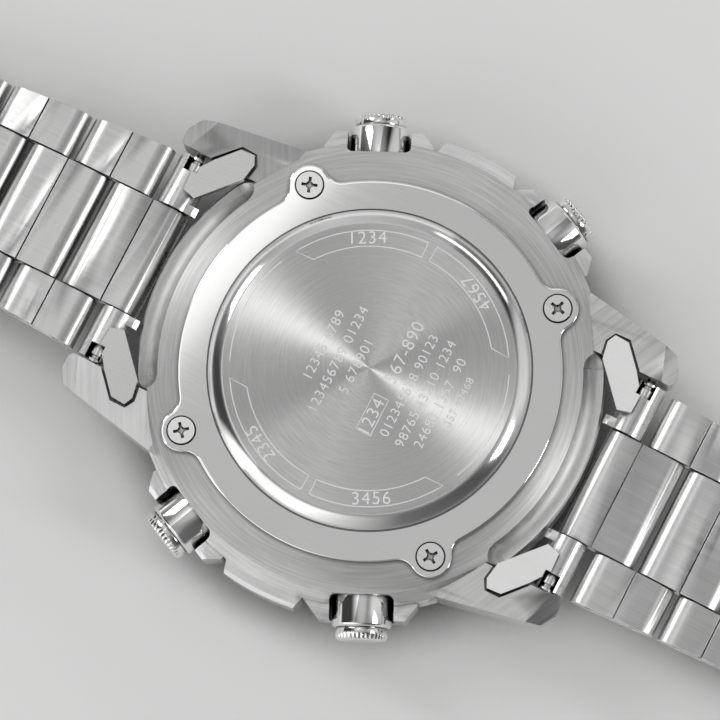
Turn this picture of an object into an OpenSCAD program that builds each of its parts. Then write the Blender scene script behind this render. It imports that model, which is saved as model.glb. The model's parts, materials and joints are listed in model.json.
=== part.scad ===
// Digital watch with four pushers and a folded-link steel bracelet, lying on its face.
// Millimetres. Z points out of the case back, +Y to 12 o'clock, +X to 9 o'clock.
// z = 0 is the surface that the bezel and the open bracelet lie on.

/* [Case] */
// Radius of the brushed flat ring on the back of the case
ring_r = 20.8; // [20.6:0.1:21.2]
// Radius at the foot of the slope round that ring, the widest round of the case
flange_r = 21.9; // [21.7:0.1:22]
// Height of the case middle, front to back face
mid_h = 7.0; // [7:0.1:8]
// Height of that slope
flange_drop = 1.3; // [1.1:0.1:1.5]
// Radius of the cavity for the module
cavity_r = 15.2; // [15.1:0.1:15.5]
// Radius over the wide tabs between the pushers
tab_r = 23.1; // [23:0.1:23.8]
// Half angle of a tab at its outer edge
tab_a = 8.2; // [7:0.1:9]
// Radius over the guards beside the pushers
guard_r = 23.05; // [22.7:0.05:23.3]
// Angle from the pusher to the far edge of a guard, at its top
guard_a = 10; // [9.4:0.1:10.6]
// The same angle at the guard's base
guard_base_a = 13.5; // [12.5:0.1:13.8]
// Section radius of the concave channel at 12 and 6 o'clock
channel_r = 1.35; // [1.1:0.05:1.4]
// Half angle that the channel covers
channel_a = 27.8; // [25:0.2:28.4]

/* [Bezel and glass] */
// Height of the bezel
bezel_h = 3.2; // [3:0.1:3.6]
// Radius of the bezel where it meets the case
bezel_r = 21.2; // [21:0.1:21.6]
// Radius of the bezel's flat face
bezel_face_r = 19.4; // [19:0.1:20]
// Thickness of the bezel's lip over the glass gasket
bezel_lip = 0.5; // [0.4:0.05:0.7]
// Radius of the glass
glass_r = 16.0; // [15.6:0.1:16.2]
// Thickness of the glass
glass_t = 1.6; // [1.4:0.1:1.7]
// Depth of the glass below the bezel's face
glass_inset = 0.2; // [0.1:0.05:0.3]
// Wall of the glass gasket
glass_seal_w = 0.5; // [0.4:0.05:0.6]
// Foot of the gasket behind the glass
glass_seal_foot = 0.3; // [0.2:0.05:0.4]
// Wall of the case neck inside the bezel
neck_w = 1.0; // [0.8:0.1:1.2]
// Width of the shelf that the glass gasket rests on
shelf_w = 1.8; // [1.6:0.1:2]

/* [Case back] */
// Radius of the cover
cover_r = 17.9; // [17.6:0.1:18]
// Thickness of the cover's rim
cover_t = 0.85; // [0.8:0.05:1]
// Height of the raised disc over the case
disc_h = 1.8; // [1.6:0.1:2.1]
// Radius of the raised disc
disc_r = 14.4; // [14:0.1:14.6]
// Radius of the foot of the rounded step
step_r = 15.5; // [15.3:0.1:15.9]
// Wall of the cover behind the disc
cover_wall = 0.7; // [0.6:0.05:0.8]
// Depth of the cover's spigot in the case
spigot_h = 0.7; // [0.5:0.05:0.8]
// Radius of the circle that the screws are on
screw_circle_r = 18.35; // [18.2:0.05:18.5]
// Radius of an ear of the cover
ear_r = 1.95; // [1.85:0.05:2.1]
// Radius of the fillet between ear and cover
ear_fillet = 1.6; // [1.2:0.1:2.2]
// Radius of a screw's shank
screw_r = 0.8; // [0.6:0.05:0.85]
// Radius of a screw's head
screw_head_r = 1.25; // [1.15:0.05:1.3]
// Height of a screw's head
screw_head_h = 0.6; // [0.5:0.05:0.7]
// Length of a screw in the case
screw_len = 3.0; // [2.4:0.1:3.4]
// Width of the back gasket
back_seal_w = 0.7; // [0.5:0.05:0.8]
// Depth of its groove
back_seal_h = 0.6; // [0.5:0.05:0.8]

/* [Lugs and end pieces] */
// Gap between the lugs of one end
lug_gap = 22.2; // [22:0.1:22.6]
// Width of a lug at its tip
lug_w = 3.35; // [3:0.05:3.8]
// Width of a lug at its root
lug_root_w = 5.1; // [4.6:0.1:5.6]
// Length of a lug past the spring bar
lug_past = 2.0; // [1.8:0.1:2.4]
// Depth of the lugs' flat face below the back face of the case, at its root
lug_drop = 0.6; // [0.5:0.05:0.8]
// Height that this face gains towards the tip
lug_rise = 2.1; // [1.5:0.1:2.2]
// Slope of the lighter facet at a lug's tip
facet_a = 27; // [20:1:32]
// Height of the spring bar over the bezel's face
bar_z = 8.6; // [8.2:0.1:8.8]
// Radius of the spring bar
bar_r = 0.8; // [0.7:0.05:0.9]
// Gap between the case and the first link's roll
strap_gap = 0.45; // [0.4:0.05:0.7]
// Outer radius of the end piece's rolled tubes
tube_r = 1.75; // [1.65:0.05:1.8]
// Width of the arm that runs into the lug
arm_w = 2.74; // [2.4:0.05:2.9]
// Length of that arm
arm_l = 6.75; // [6.4:0.05:6.9]
// Thickness of the arm
arm_t = 1.0; // [0.8:0.05:1.1]
// Sheet thickness of the end piece's bridge
sheet_t = 0.75; // [0.6:0.05:0.8]

/* [Pushers] */
// Angle of each pusher from the 9 to 3 o'clock line
pusher_a = 25; // [24:0.5:26]
// Height of the pushers' axis
pusher_z = 6.7; // [6.6:0.05:6.8]
// Distance of a pusher's end face from the centre
pusher_out = 24.9; // [24.8:0.1:25.6]
// Radius of the inner tier
head_r = 2.8; // [2.6:0.05:2.85]
// Radius of the outer tier
crown_r = 2.45; // [2.3:0.05:2.5]
// Length of the outer tier
crown_l = 1.2; // [1.1:0.05:1.6]
// Travel of a pusher
travel = 0.9; // [0.7:0.05:1]
// Radius of the stem
stem_r = 0.8; // [0.7:0.05:0.9]
// Radial clearance of the head in its pocket
pocket_clear = 0.2; // [0.15:0.05:0.25]
// Radius of the circlip
clip_r = 1.5; // [1.3:0.05:1.6]
// Thickness of the circlip
clip_t = 0.2; // [0.15:0.05:0.25]
// Flutes round the end of a pusher
flute_n = 26; // [20:1:28]

/* [Module] */
// Height of the dial ring
dial_h = 1.2; // [1:0.1:1.4]
// Thickness of the face plate
face_t = 0.3; // [0.2:0.05:0.4]
// Length of the display glass
lcd_w = 21; // [20:0.5:21]
// Width of the display glass
lcd_l = 15; // [14:0.5:15]
// Thickness of the display glass
lcd_t = 1.3; // [1.1:0.1:1.4]
// Thickness of the light panel
light_t = 0.3; // [0.2:0.05:0.4]
// Thickness of the circuit board
board_t = 0.6; // [0.5:0.05:0.7]
// Radius of the circuit board
board_r = 12.9; // [12.7:0.05:13]
// Radius of the coin cell
cell_r = 10; // [9.8:0.1:10.1]
// Thickness of the coin cell
cell_t = 1.6; // [1.4:0.1:1.7]
// Radius of the buzzer disc
buzzer_r = 12.4; // [12:0.1:13]

/* [Bracelet] */
// Half of the pitch: distance between one pin and the next
half_pitch = 4.4; // [4.3:0.05:4.6]
// Thickness of a link
link_t = 2.9; // [2.7:0.05:3]
// Gap between two links of one row
row_gap = 0.45; // [0.4:0.05:0.6]
// Rounding of a link's ends
link_round = 1.0; // [0.8:0.05:1.1]
// Width of the centre row
centre_w = 10.7; // [10.4:0.1:10.9]
// Gap between the centre row and the outer rows
side_gap = 0.15; // [0.12:0.01:0.2]
// Width of the bracelet at the case
strap_w = 21.1; // [20.8:0.1:21.3]
// Width of the bracelet at the clasp
strap_end_w = 18.1; // [17.6:0.1:18.4]
// Radius of a pin
pin_r = 0.6; // [0.5:0.05:0.65]
// Radial clearance of every pin and bar in its hole
pin_clear = 0.04; // [0.03:0.01:0.06]
// Width of the seam where a folded strip's ends meet
seam_w = 0.12; // [0.08:0.01:0.2]
// Height of the space inside a folded link
fold_gap = 1.0; // [0.8:0.05:1.1]
// Outer radius of the roll round the lug spring bar
roll_r = 1.35; // [1.3:0.05:1.4]
// Slope of the open bracelet next to the case
near_droop = 6; // [4:0.5:8]
// Distance from that bar to the first link's seam
roll_l = 1.8; // [1.6:0.05:2]

/* [Clasp] */
// Radius of the clasp's curve
clasp_r = 80; // [70:1:100]
// Length from the cover's middle to the spring bar
clasp_bar_s = 17; // [16:0.5:18]
// Distance from the cover's middle to its hinge
clasp_hinge_s = 15.5; // [15:0.5:16]
// Sheet thickness of the cover and leaves
clasp_t = 0.8; // [0.7:0.05:0.9]
// Depth of the cover's sides
clasp_side_h = 3.9; // [3.8:0.05:4.2]
// Radius of the clasp's hinge knuckles
knuckle_r = 1.15; // [1.1:0.05:1.2]
// Radius of the clasp's hinge pins
clasp_pin_r = 0.5; // [0.4:0.05:0.55]
// Radius of the clasp's spring bars
clasp_bar_r = 0.75; // [0.7:0.05:0.8]

/* [Hidden] */
$fn = 96;

// Heights of the case
back_z = bezel_h + mid_h;
flange_z = back_z - flange_drop;
lug_z = back_z - lug_drop;
disc_z = back_z + disc_h;
cover_z = back_z + cover_t;
// Glass and its seat
glass_z = glass_inset + glass_t;
shelf_z = glass_z + glass_seal_foot;
neck_ri = glass_r + glass_seal_w;
neck_r = neck_ri + neck_w;
shelf_ri = neck_ri - shelf_w;
cavity_z = bezel_h - 0.2;
fit = 0.05;
// Module levels, counted from the shelf towards the back
face_z = cavity_z + dial_h;
lcd_z = face_z + face_t;
light_z = lcd_z + lcd_t;
board_z = light_z + 1.0;
cell_z = board_z + board_t;
clip_z = cell_z + cell_t;
module_top = clip_z + 0.25;
ceiling_z = disc_z - cover_wall;
buzzer_t = 0.25;
// Pushers
pocket_r = head_r + pocket_clear;
stem_hole_r = stem_r + pin_clear;
head_in = 20.1;
pocket_in = head_in - travel - 0.2;
clip_at = cavity_r - clip_t - 0.15;
stem_in = clip_at - 0.35;
contact_r = stem_in - travel - 0.15;
contact_t = 0.15;
seal_r = stem_r + 0.55;
seal_l = 1.0;
// Bar and end pieces
bar_y = flange_r + strap_gap + roll_r;
bar_hole_r = bar_r + pin_clear;
bar_tip_r = bar_r / 2;
tube_in = centre_w / 2 + side_gap;
tube_out = strap_w / 2 + 0.15;
arm_z = bar_z + tube_r - 0.45;
bridge_o = -roll_r - 0.27;
// Bracelet
over = (half_pitch - row_gap) / 2;
end_z = link_t / 2 + 0.2;
n12 = 8;
n6 = 10;
near_n = 3;
taper_n = 3;
pin_hole_r = pin_r + pin_clear;
clasp_hole_r = clasp_bar_r + pin_clear;
outer_in = centre_w / 2 + side_gap;
// Clasp, in lengths along its curve (s) and depths inward from its outer face (o)
clasp_w = strap_end_w + 2 * (0.25 + clasp_t);
bar12_o = link_t / 2;
hinge_o = 1.55;
fold_o = 2.4;
middle_o = clasp_t + 0.35;
inner_o = middle_o + clasp_t + 0.9;
bar6_o = inner_o + clasp_t - link_t / 2 + 0.05;
fold_s = clasp_hinge_s - 27.5;
bar6_s = clasp_hinge_s + 3.5;
clasp_bar_z = clasp_r - (clasp_r - bar12_o) * cos(deg(clasp_bar_s));
near_drop = near_n * half_pitch * sin(near_droop);
droop_12 = asin((bar_z - near_drop - clasp_bar_z) / ((n12 - near_n) * half_pitch));
droop_6 = asin((bar_z - near_drop - end_z) / ((n6 - near_n) * half_pitch));

function deg(s) = s / clasp_r * 180 / PI;
function link_angle(n, i) = -(i < near_n ? near_droop : (n == n12 ? droop_12 : droop_6));
function link_at(n, i) = i == 0 ? [bar_y, bar_z]
  : link_at(n, i - 1) + half_pitch * [cos(link_angle(n, i - 1)), sin(link_angle(n, i - 1))];
clasp_y = link_at(n12, n12)[0] + (clasp_r - bar12_o) * sin(deg(clasp_bar_s));
function half_w(k) = (strap_w - (strap_w - strap_end_w) * min(k, taper_n) / taper_n) / 2;

// A round bar along X from x0 to x1
module rod(r, x0, x1) {
  translate([x0, 0, 0])
    rotate([0, 90, 0])
      cylinder(h = x1 - x0, r = r);
}

// A profile drawn in the Y-Z plane, run along X from x0 to x1
module along_x(x0, x1) {
  translate([x0, 0, 0])
    rotate([90, 0, 90])
      linear_extrude(height = x1 - x0)
        children();
}

module both_sides() {
  children();
  mirror([1, 0, 0]) children();
}

// Turns a piece drawn along +X at the pushers' height to one pusher
module at_pusher(a) {
  rotate([0, 0, a])
    translate([0, 0, pusher_z])
      children();
}

// A round bar along the pusher's axis from radius x0 to x1
module radial(r, x0, x1) {
  rod(r, x0, x1);
}

module ring(ro, ri, z0, z1) {
  translate([0, 0, z0])
    difference() {
      cylinder(h = z1 - z0, r = ro);
      translate([0, 0, -1]) cylinder(h = z1 - z0 + 2, r = ri);
    }
}

// Case

module case_round() {
  rotate_extrude()
    polygon([
      [0, bezel_lip], [neck_r, bezel_lip], [neck_r, bezel_h], [bezel_r, bezel_h],
      [flange_r, bezel_h + flange_r - bezel_r],
      [flange_r, flange_z], [ring_r, back_z], [0, back_z]
    ]);
}

// The hollow of the case: seat of the glass gasket, shelf, cavity
module case_hollow() {
  rotate_extrude()
    polygon([
      [0, -1], [neck_ri, -1], [neck_ri, shelf_z], [shelf_ri, shelf_z], [shelf_ri, cavity_z],
      [cavity_r, cavity_z], [cavity_r, back_z + 1], [0, back_z + 1]
    ]);
}

module tab() {
  intersection() {
    rotate_extrude()
      polygon([
        [20, bezel_h + 1], [tab_r - 0.6, bezel_h + 1], [tab_r, bezel_h + 1.6],
        [tab_r, flange_z - 0.5], [tab_r - 0.4, flange_z], [20, flange_z]
      ]);
    linear_extrude(height = back_z)
      polygon([
        [20.5, -20.5 * tan(tab_a + 3.5)], [tab_r + 0.5, -(tab_r + 0.5) * tan(tab_a)],
        [tab_r + 0.5, (tab_r + 0.5) * tan(tab_a)], [20.5, 20.5 * tan(tab_a + 3.5)]
      ]);
  }
}

// A guard beside a pusher, which points along +X
module guard() {
  z0 = bezel_h + 0.95;
  z1 = flange_z - 0.2;
  difference() {
    translate([0, 0, z0])
      linear_extrude(height = z1 - z0)
        polygon([
          [20, 2], [guard_r, 2], [guard_r, guard_r * tan(guard_a)],
          [flange_r - 0.3, (flange_r - 0.3) * tan(guard_base_a)], [20, 5]
        ]);
    translate([guard_r - 0.4, 0, z1])
      rotate([0, 45, 0])
        cube([3, 12, 3]);
  }
}

module lug() {
  x0 = lug_gap / 2;
  tip = bar_y + lug_past;
  slope = lug_rise / (tip - 15);
  difference() {
    intersection() {
      linear_extrude(height = back_z + 5)
        polygon([
          [x0, 12], [x0, tip - 0.4], [x0 + 0.35, tip - 0.05], [x0 + 1.6, tip],
          [x0 + lug_w - 0.4, tip - 0.85], [x0 + lug_w, tip - 2.5], [x0 + lug_root_w, 13.5]
        ]);
      along_x(0, 30)
        polygon([
          [8, bezel_h + 0.3], [16.5, bezel_h + 0.5], [tip - 0.8, bar_z - 1.5],
          [tip + 1, bar_z - 0.7], [tip + 1, lug_z + slope * (tip - 14)], [15, lug_z],
          [8, lug_z]
        ]);
    }
    translate([x0, tip - 1.05, lug_z + slope * (tip - 16.05)])
      rotate([0, 0, -26.6])
        rotate([-facet_a, 0, 0])
          translate([-5, 0, 0])
            cube([15, 6, 3]);
    translate([0, bar_y, bar_z]) rod(bar_tip_r + fit, x0 - 1, x0 + 1.0);
  }
}

// Outline of the arm, in its own direction, grown by c
module arm_outline(c) {
  polygon([
    [-c, -c], [arm_l - 1.8 + c / 2, -c], [arm_l - 0.35 + c, 0.33 * arm_w - c / 2],
    [arm_l + c, 0.64 * arm_w + c / 3], [arm_l - 1 + c, arm_w + c], [3.05, arm_w + c],
    [0.75 - c, arm_w - 0.24 + c], [-0.6 - c, 1.2 + c]
  ]);
}

module arm_place() {
  translate([tube_in + 1.5, bar_y - 1.6, 0])
    rotate([0, 0, -42])
      children();
}

module channel() {
  rotate([0, 0, 90 - channel_a])
    rotate_extrude(angle = 2 * channel_a)
      translate([ring_r + 0.35, back_z + 0.15])
        circle(channel_r);
  for (a = [90 - channel_a, 90 + channel_a])
    rotate([0, 0, a])
      translate([ring_r + 0.35, 0, back_z + 0.15])
        rotate([0, 0, 40])
          sphere(channel_r - 0.06);
}

module pusher_bore(a) {
  at_pusher(a) {
    radial(pocket_r, pocket_in, 30);
    radial(stem_hole_r, cavity_r - 2, pocket_in + 1);
    radial(seal_r, pocket_in - seal_l, pocket_in + 1);
    linear_extrude(height = 10) {
      translate([ring_r + 0.6, -pocket_r]) square([10, 2 * pocket_r]);
      translate([ring_r, 0.6 - pocket_r]) square([1, 2 * pocket_r - 1.2]);
      for (y = [0.6 - pocket_r, pocket_r - 0.6]) translate([ring_r + 0.6, y]) circle(0.6);
    }
  }
}

module case_middle() {
  color("silver")
    difference() {
      union() {
        case_round();
        for (a = [0, 180]) rotate([0, 0, a]) tab();
        for (s = [0, 180])
          for (p = [-pusher_a, pusher_a])
            rotate([0, 0, s + p])
              for (m = [0, 1]) mirror([0, m, 0]) guard();
        for (m = [0, 1]) mirror([0, m, 0]) both_sides() lug();
      }
      case_hollow();
      translate([0, 0, back_z - back_seal_h])
        ring(cavity_r + 0.5 + back_seal_w, cavity_r + 0.5, 0, 5);
      for (m = [0, 1]) mirror([0, m, 0]) channel();
      for (a = [45, 135, 225, 315])
        rotate([0, 0, a])
          translate([screw_circle_r, 0, back_z - screw_len - 0.3])
            cylinder(h = 10, r = screw_r + 0.02);
      for (m = [0, 1])
        mirror([0, m, 0])
          both_sides()
            arm_place()
              translate([0, 0, arm_z - 0.15])
                linear_extrude(height = 10)
                  arm_outline(0.25);
      for (s = [0, 180])
        for (p = [-pusher_a, pusher_a]) pusher_bore(s + p);
    }
}

module bezel() {
  color("lightgray")
    rotate_extrude()
      polygon([
        [glass_r + fit, 0], [bezel_face_r, 0], [bezel_r - 0.4, 1.5], [bezel_r - 0.4, 1.9],
        [bezel_r, 2.2], [bezel_r, bezel_h], [neck_r, bezel_h], [neck_r, bezel_lip],
        [glass_r + fit, bezel_lip]
      ]);
}

module crystal() {
  color("lightcyan")
    rotate_extrude()
      polygon([
        [0, glass_inset], [glass_r - 0.3, glass_inset], [glass_r, glass_inset + 0.3],
        [glass_r, glass_z], [0, glass_z]
      ]);
}

module crystal_gasket() {
  color("ivory")
    rotate_extrude()
      polygon([
        [glass_r, bezel_lip], [neck_ri, bezel_lip], [neck_ri, shelf_z],
        [glass_r - 0.8, shelf_z], [glass_r - 0.8, glass_z], [glass_r, glass_z]
      ]);
}

// Module

module dial_ring() {
  color("dimgray")
    rotate_extrude()
      polygon([
        [shelf_ri + 0.2, cavity_z], [cavity_r - fit, cavity_z], [cavity_r - fit, face_z],
        [shelf_ri - 0.9, face_z]
      ]);
}

module face_plate() {
  color("black")
    difference() {
      translate([0, 0, face_z]) cylinder(h = face_t, r = cavity_r - fit);
      translate([0, 0, face_z]) cube([lcd_w - 2.5, lcd_l - 3.2, 2], center = true);
    }
}

module lcd_panel() {
  color("darkseagreen")
    translate([-lcd_w / 2, -lcd_l / 2, lcd_z])
      cube([lcd_w, lcd_l, lcd_t]);
}

module light_panel() {
  color("paleturquoise")
    translate([-lcd_w / 2 + 0.6, -lcd_l / 2 + 2.2, light_z])
      cube([lcd_w - 1.2, lcd_l - 4.4, light_t]);
}

module zebra_strips() {
  color("pink")
    for (m = [0, 1])
      mirror([0, m, 0])
        translate([-lcd_w / 2 + 0.6, lcd_l / 2 - 1.9, light_z])
          cube([lcd_w - 1.2, 1.5, board_z - light_z]);
}

// A pocket in the module frame for one pusher's stem, clip and contact
module frame_slot(a) {
  rotate([0, 0, a])
    translate([board_r - 0.05, -clip_r - 0.25, pusher_z - clip_r - 0.25])
      cube([5, 2 * clip_r + 0.5, 10]);
}

module module_frame() {
  color("darkslategray")
    difference() {
      translate([0, 0, lcd_z]) cylinder(h = module_top - lcd_z, r = cavity_r - fit);
      translate([-lcd_w / 2 - fit, -lcd_l / 2 - fit, lcd_z - 1])
        cube([lcd_w + 2 * fit, lcd_l + 2 * fit, lcd_t + 1]);
      translate([-lcd_w / 2 + 0.5, -lcd_l / 2 + 0.3, light_z - 1])
        cube([lcd_w - 1, lcd_l - 0.6, 5]);
      translate([0, 0, board_z]) cylinder(h = 10, r = board_r + fit);
      for (s = [0, 180])
        for (p = [-pusher_a, pusher_a]) frame_slot(s + p);
    }
}

module circuit_board() {
  color("darkgreen")
    translate([0, 0, board_z]) cylinder(h = board_t, r = board_r);
}

module quartz_crystal() {
  color("gold")
    translate([0, -cell_r - 0.25 - 0.85, cell_z + 0.85])
      rod(0.85, -2.75, 2.75);
}

module coin_cell() {
  color("gainsboro") {
    translate([0, 0, cell_z]) cylinder(h = cell_t * 0.75, r = cell_r - 0.8);
    translate([0, 0, cell_z + 0.3]) cylinder(h = cell_t - 0.3, r = cell_r);
  }
}

module battery_clip() {
  x1 = cell_r + 1.6;
  color("goldenrod") {
    translate([-x1, -2, clip_z]) cube([2 * x1, 4, 0.25]);
    both_sides() {
      translate([x1 - 0.25, -2, cell_z]) cube([0.25, 4, clip_z - cell_z + 0.1]);
      translate([x1 - 1, -2, cell_z]) cube([1, 4, 0.2]);
    }
  }
}

module pusher_contacts() {
  color("gold")
    for (s = [0, 180])
      for (p = [-pusher_a, pusher_a])
        rotate([0, 0, s + p])
          translate([0, 1, 0])
            rotate([90, 0, 0])
              linear_extrude(height = 2)
                polygon([
                  [cell_r + 1, cell_z], [contact_r - contact_t, cell_z],
                  [contact_r - contact_t, pusher_z - 0.8], [contact_r, pusher_z - 0.8],
                  [contact_r, cell_z + contact_t], [cell_r + 1, cell_z + contact_t]
                ]);
}

module buzzer_disc() {
  color("khaki")
    translate([0, 0, ceiling_z - buzzer_t])
      cylinder(h = buzzer_t, r = buzzer_r);
}

// A coil of round wire: points swept along a helix, with closed ends
module coil(mean_r, wire_r, length, turns, steps) {
  n = turns * steps;
  sides = 6;
  pitch = (length - 2 * wire_r) / turns;
  rings = [for (i = [0:n]) [
    for (j = [0:sides - 1])
      let (a = 360 * i / steps, b = 360 * j / sides, r = mean_r + wire_r * cos(b))
        [r * cos(a), r * sin(a), wire_r + pitch * i / steps + wire_r * sin(b)]
  ]];
  points = [for (ring = rings) for (p = ring) p];
  faces = concat(
    [[for (j = [0:sides - 1]) j]],
    [for (i = [0:n - 1]) for (j = [0:sides - 1])
      [i * sides + j, (i + 1) * sides + j, i * sides + (j + 1) % sides]],
    [for (i = [0:n - 1]) for (j = [0:sides - 1])
      [(i + 1) * sides + j, (i + 1) * sides + (j + 1) % sides, i * sides + (j + 1) % sides]],
    [[for (j = [0:sides - 1]) n * sides + sides - 1 - j]]
  );
  polyhedron(points, faces, convexity = 10);
}

module buzzer_spring() {
  color("orange")
    rotate([0, 0, 90])
      translate([cell_r + 1.2, 0, cell_z])
        coil(0.75, 0.12, ceiling_z - buzzer_t - cell_z, 4, 8);
}

// Case back

module back_gasket() {
  color("darkred")
    ring(cavity_r + 0.5 + back_seal_w, cavity_r + 0.5, back_z - back_seal_h, back_z);
}

// The cover's outline: a circle, four ears, and a fillet on each side of an ear
module ear(a) {
  rf = cover_r + ear_fillet;
  re = ear_r + ear_fillet;
  d = screw_circle_r;
  t = acos((d * d + rf * rf - re * re) / (2 * d * rf));
  f = [rf * cos(t), rf * sin(t)];
  u0 = atan2(-f[1], -f[0]);
  u1 = atan2(-f[1], d - f[0]);
  steps = 6;
  fillet = [for (i = [0:steps])
    f + ear_fillet * [cos(u0 + (u1 - u0) * i / steps), sin(u0 + (u1 - u0) * i / steps)]];
  rotate([0, 0, a]) {
    translate([d, 0, 0]) cylinder(h = cover_t, r = ear_r);
    linear_extrude(height = cover_t)
      polygon(concat(
        [[0, 0]], fillet, [[d, 0]],
        [for (i = [steps:-1:0]) [fillet[i][0], -fillet[i][1]]]
      ));
  }
}

module case_back() {
  w = step_r - disc_r;
  color("gainsboro")
    difference() {
      union() {
        translate([0, 0, back_z]) {
          cylinder(h = cover_t, r = cover_r);
          for (a = [45, 135, 225, 315]) ear(a);
        }
        rotate_extrude()
          difference() {
            translate([0, back_z]) square([step_r, disc_h]);
            translate([step_r + 0.02, disc_z + 0.02]) circle(w);
          }
        ring(cavity_r - fit, cavity_r - fit - 0.9, back_z - spigot_h, back_z + 0.1);
      }
      translate([0, 0, back_z - 5])
        cylinder(h = ceiling_z - back_z + 5, r = disc_r - cover_wall);
      for (a = [45, 135, 225, 315])
        rotate([0, 0, a])
          translate([screw_circle_r, 0, back_z]) {
            translate([0, 0, -1]) cylinder(h = 5, r = screw_r + 0.1);
            translate([0, 0, cover_t / 2]) cylinder(h = 5, r = screw_head_r + 0.2);
          }
    }
}

module back_screws() {
  color("lightgray")
    for (a = [45, 135, 225, 315])
      rotate([0, 0, a])
        translate([screw_circle_r, 0, back_z + cover_t / 2])
          rotate([0, 0, -a + 20])
            difference() {
              rotate_extrude()
                polygon([
                  [0, -screw_len - cover_t / 2], [screw_r - 0.2, -screw_len - cover_t / 2],
                  [screw_r, -screw_len - cover_t / 2 + 0.2], [screw_r, 0], [screw_head_r, 0],
                  [screw_head_r, screw_head_h - 0.2], [screw_head_r - 0.2, screw_head_h],
                  [0, screw_head_h]
                ]);
              for (b = [0, 90])
                rotate([0, 0, b])
                  translate([-screw_head_r * 0.55, -0.16, screw_head_h - 0.35])
                    cube([screw_head_r * 1.1, 0.32, 1]);
            }
}

// Pushers

module pusher_seals() {
  color("darkred")
    for (s = [0, 180])
      for (p = [-pusher_a, pusher_a])
        at_pusher(s + p)
          rotate([0, 90, 0])
            translate([0, 0, pocket_in - seal_l])
              difference() {
                cylinder(h = seal_l, r = seal_r);
                translate([0, 0, -1]) cylinder(h = seal_l + 2, r = stem_hole_r);
              }
}

module pusher(a) {
  hollow_r = head_r - 0.5;
  color("lightgray")
    at_pusher(a)
      rotate([0, 90, 0])
        difference() {
          rotate_extrude()
            polygon([
              [0, stem_in], [stem_r, stem_in], [stem_r, clip_at], [stem_r - 0.25, clip_at],
              [stem_r - 0.25, clip_at + clip_t], [stem_r, clip_at + clip_t],
              [stem_r, pusher_out - 2.4], [hollow_r, pusher_out - 2.4], [hollow_r, head_in],
              [head_r - 0.15, head_in], [head_r, head_in + 0.15],
              [head_r, pusher_out - crown_l - 0.25], [head_r - 0.2, pusher_out - crown_l - 0.05],
              [crown_r - 0.1, pusher_out - crown_l], [crown_r, pusher_out - crown_l + 0.15],
              [crown_r, pusher_out - 0.65], [crown_r - 0.45, pusher_out], [0, pusher_out]
            ]);
          for (i = [0:flute_n - 1])
            rotate([0, 0, 360 * i / flute_n])
              translate([crown_r + 0.02, 0, pusher_out - 0.7])
                cylinder(h = 2, r = 0.2);
        }
}

module pusher_clip(a) {
  color("dimgray")
    at_pusher(a)
      rotate([0, 90, 0])
        translate([0, 0, clip_at])
          difference() {
            cylinder(h = clip_t, r = clip_r);
            translate([0, 0, -1]) cylinder(h = 3, r = stem_r - 0.25);
            translate([-3, -0.35, -1]) cube([3, 0.7, 3]);
          }
}

module pusher_spring(a) {
  color("orange")
    at_pusher(a)
      rotate([0, 90, 0])
        translate([0, 0, pocket_in])
          coil(head_r - 0.9, 0.14, pusher_out - 2.4 - pocket_in, 5, 8);
}

// End pieces

module end_piece() {
  color("darkgray")
    difference() {
      union() {
        both_sides() {
          translate([0, bar_y, bar_z]) rod(tube_r, tube_in, tube_out);
          arm_place()
            translate([0, 0, arm_z])
              linear_extrude(height = arm_t)
                arm_outline(0);
          translate([0, bar_y, bar_z])
            along_x(tube_in, tube_in + 0.9)
              polygon([[-2.35, 0.5], [-1.2, 0.5], [-1.2, 1.25], [-1.9, 1.25], [-2.35, 0.9]]);
          translate([0, bar_y, bar_z])
            along_x(tube_in, tube_out)
              translate([0.3 - tube_r, bridge_o - 0.3]) square([tube_r, 0.8]);
        }
        translate([0, bar_y, bar_z])
          along_x(-tube_out, tube_out)
            translate([0.3 - tube_r, bridge_o - sheet_t]) square([tube_r + 0.1, sheet_t]);
      }
      translate([0, bar_y, bar_z]) {
        rod(bar_hole_r, -20, 20);
        rod(roll_r + 0.2, -tube_in, tube_in);
        both_sides()
          translate([tube_out - 1.5, -0.75, 0.2]) cube([5, 1.5, 5]);
      }
    }
}

module lug_spring_bars() {
  color("whitesmoke")
    for (m = [0, 1])
      mirror([0, m, 0])
        translate([0, bar_y, bar_z]) {
          rod(bar_r, -lug_gap / 2 + 0.95, lug_gap / 2 - 0.95);
          both_sides() {
            rod(bar_r * 0.7, lug_gap / 2 - 1, lug_gap / 2 - 0.5);
            rod(bar_r, lug_gap / 2 - 0.55, lug_gap / 2 - 0.3);
            rod(bar_tip_r, lug_gap / 2 - 0.35, lug_gap / 2 + 0.9);
          }
        }
}

// Bracelet

// Puts a piece drawn from its near pin, along +Y, with +Z towards the wrist, on one link
module on_link(n, i) {
  mirror([0, n == n12 ? 0 : 1, 0])
    translate([0, link_at(n, i)[0], link_at(n, i)[1]])
      rotate([link_angle(n, i), 0, 0])
        children();
}

// Outline of a flattened fold from y0 to y1
module fold_outline(y0, y1) {
  r = link_round;
  l = y1 - y0;
  translate([(y0 + y1) / 2, 0]) {
    square([l - 2 * r, link_t], center = true);
    square([l, link_t - 2 * r], center = true);
    for (a = [-1, 1])
      for (b = [-1, 1])
        translate([a * (l / 2 - r), b * (link_t / 2 - r)]) circle(r);
  }
}

// What is cut from every folded link: pin holes, the space in the fold and the seam
module fold_cuts(near_r, far_r, seam) {
  rod(near_r, -20, 20);
  translate([0, half_pitch, 0]) rod(far_r, -20, 20);
  translate([-20, 0, -fold_gap / 2]) cube([40, half_pitch, fold_gap]);
  translate([-20, seam - seam_w / 2, 0]) cube([40, seam_w, link_t]);
}

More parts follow.
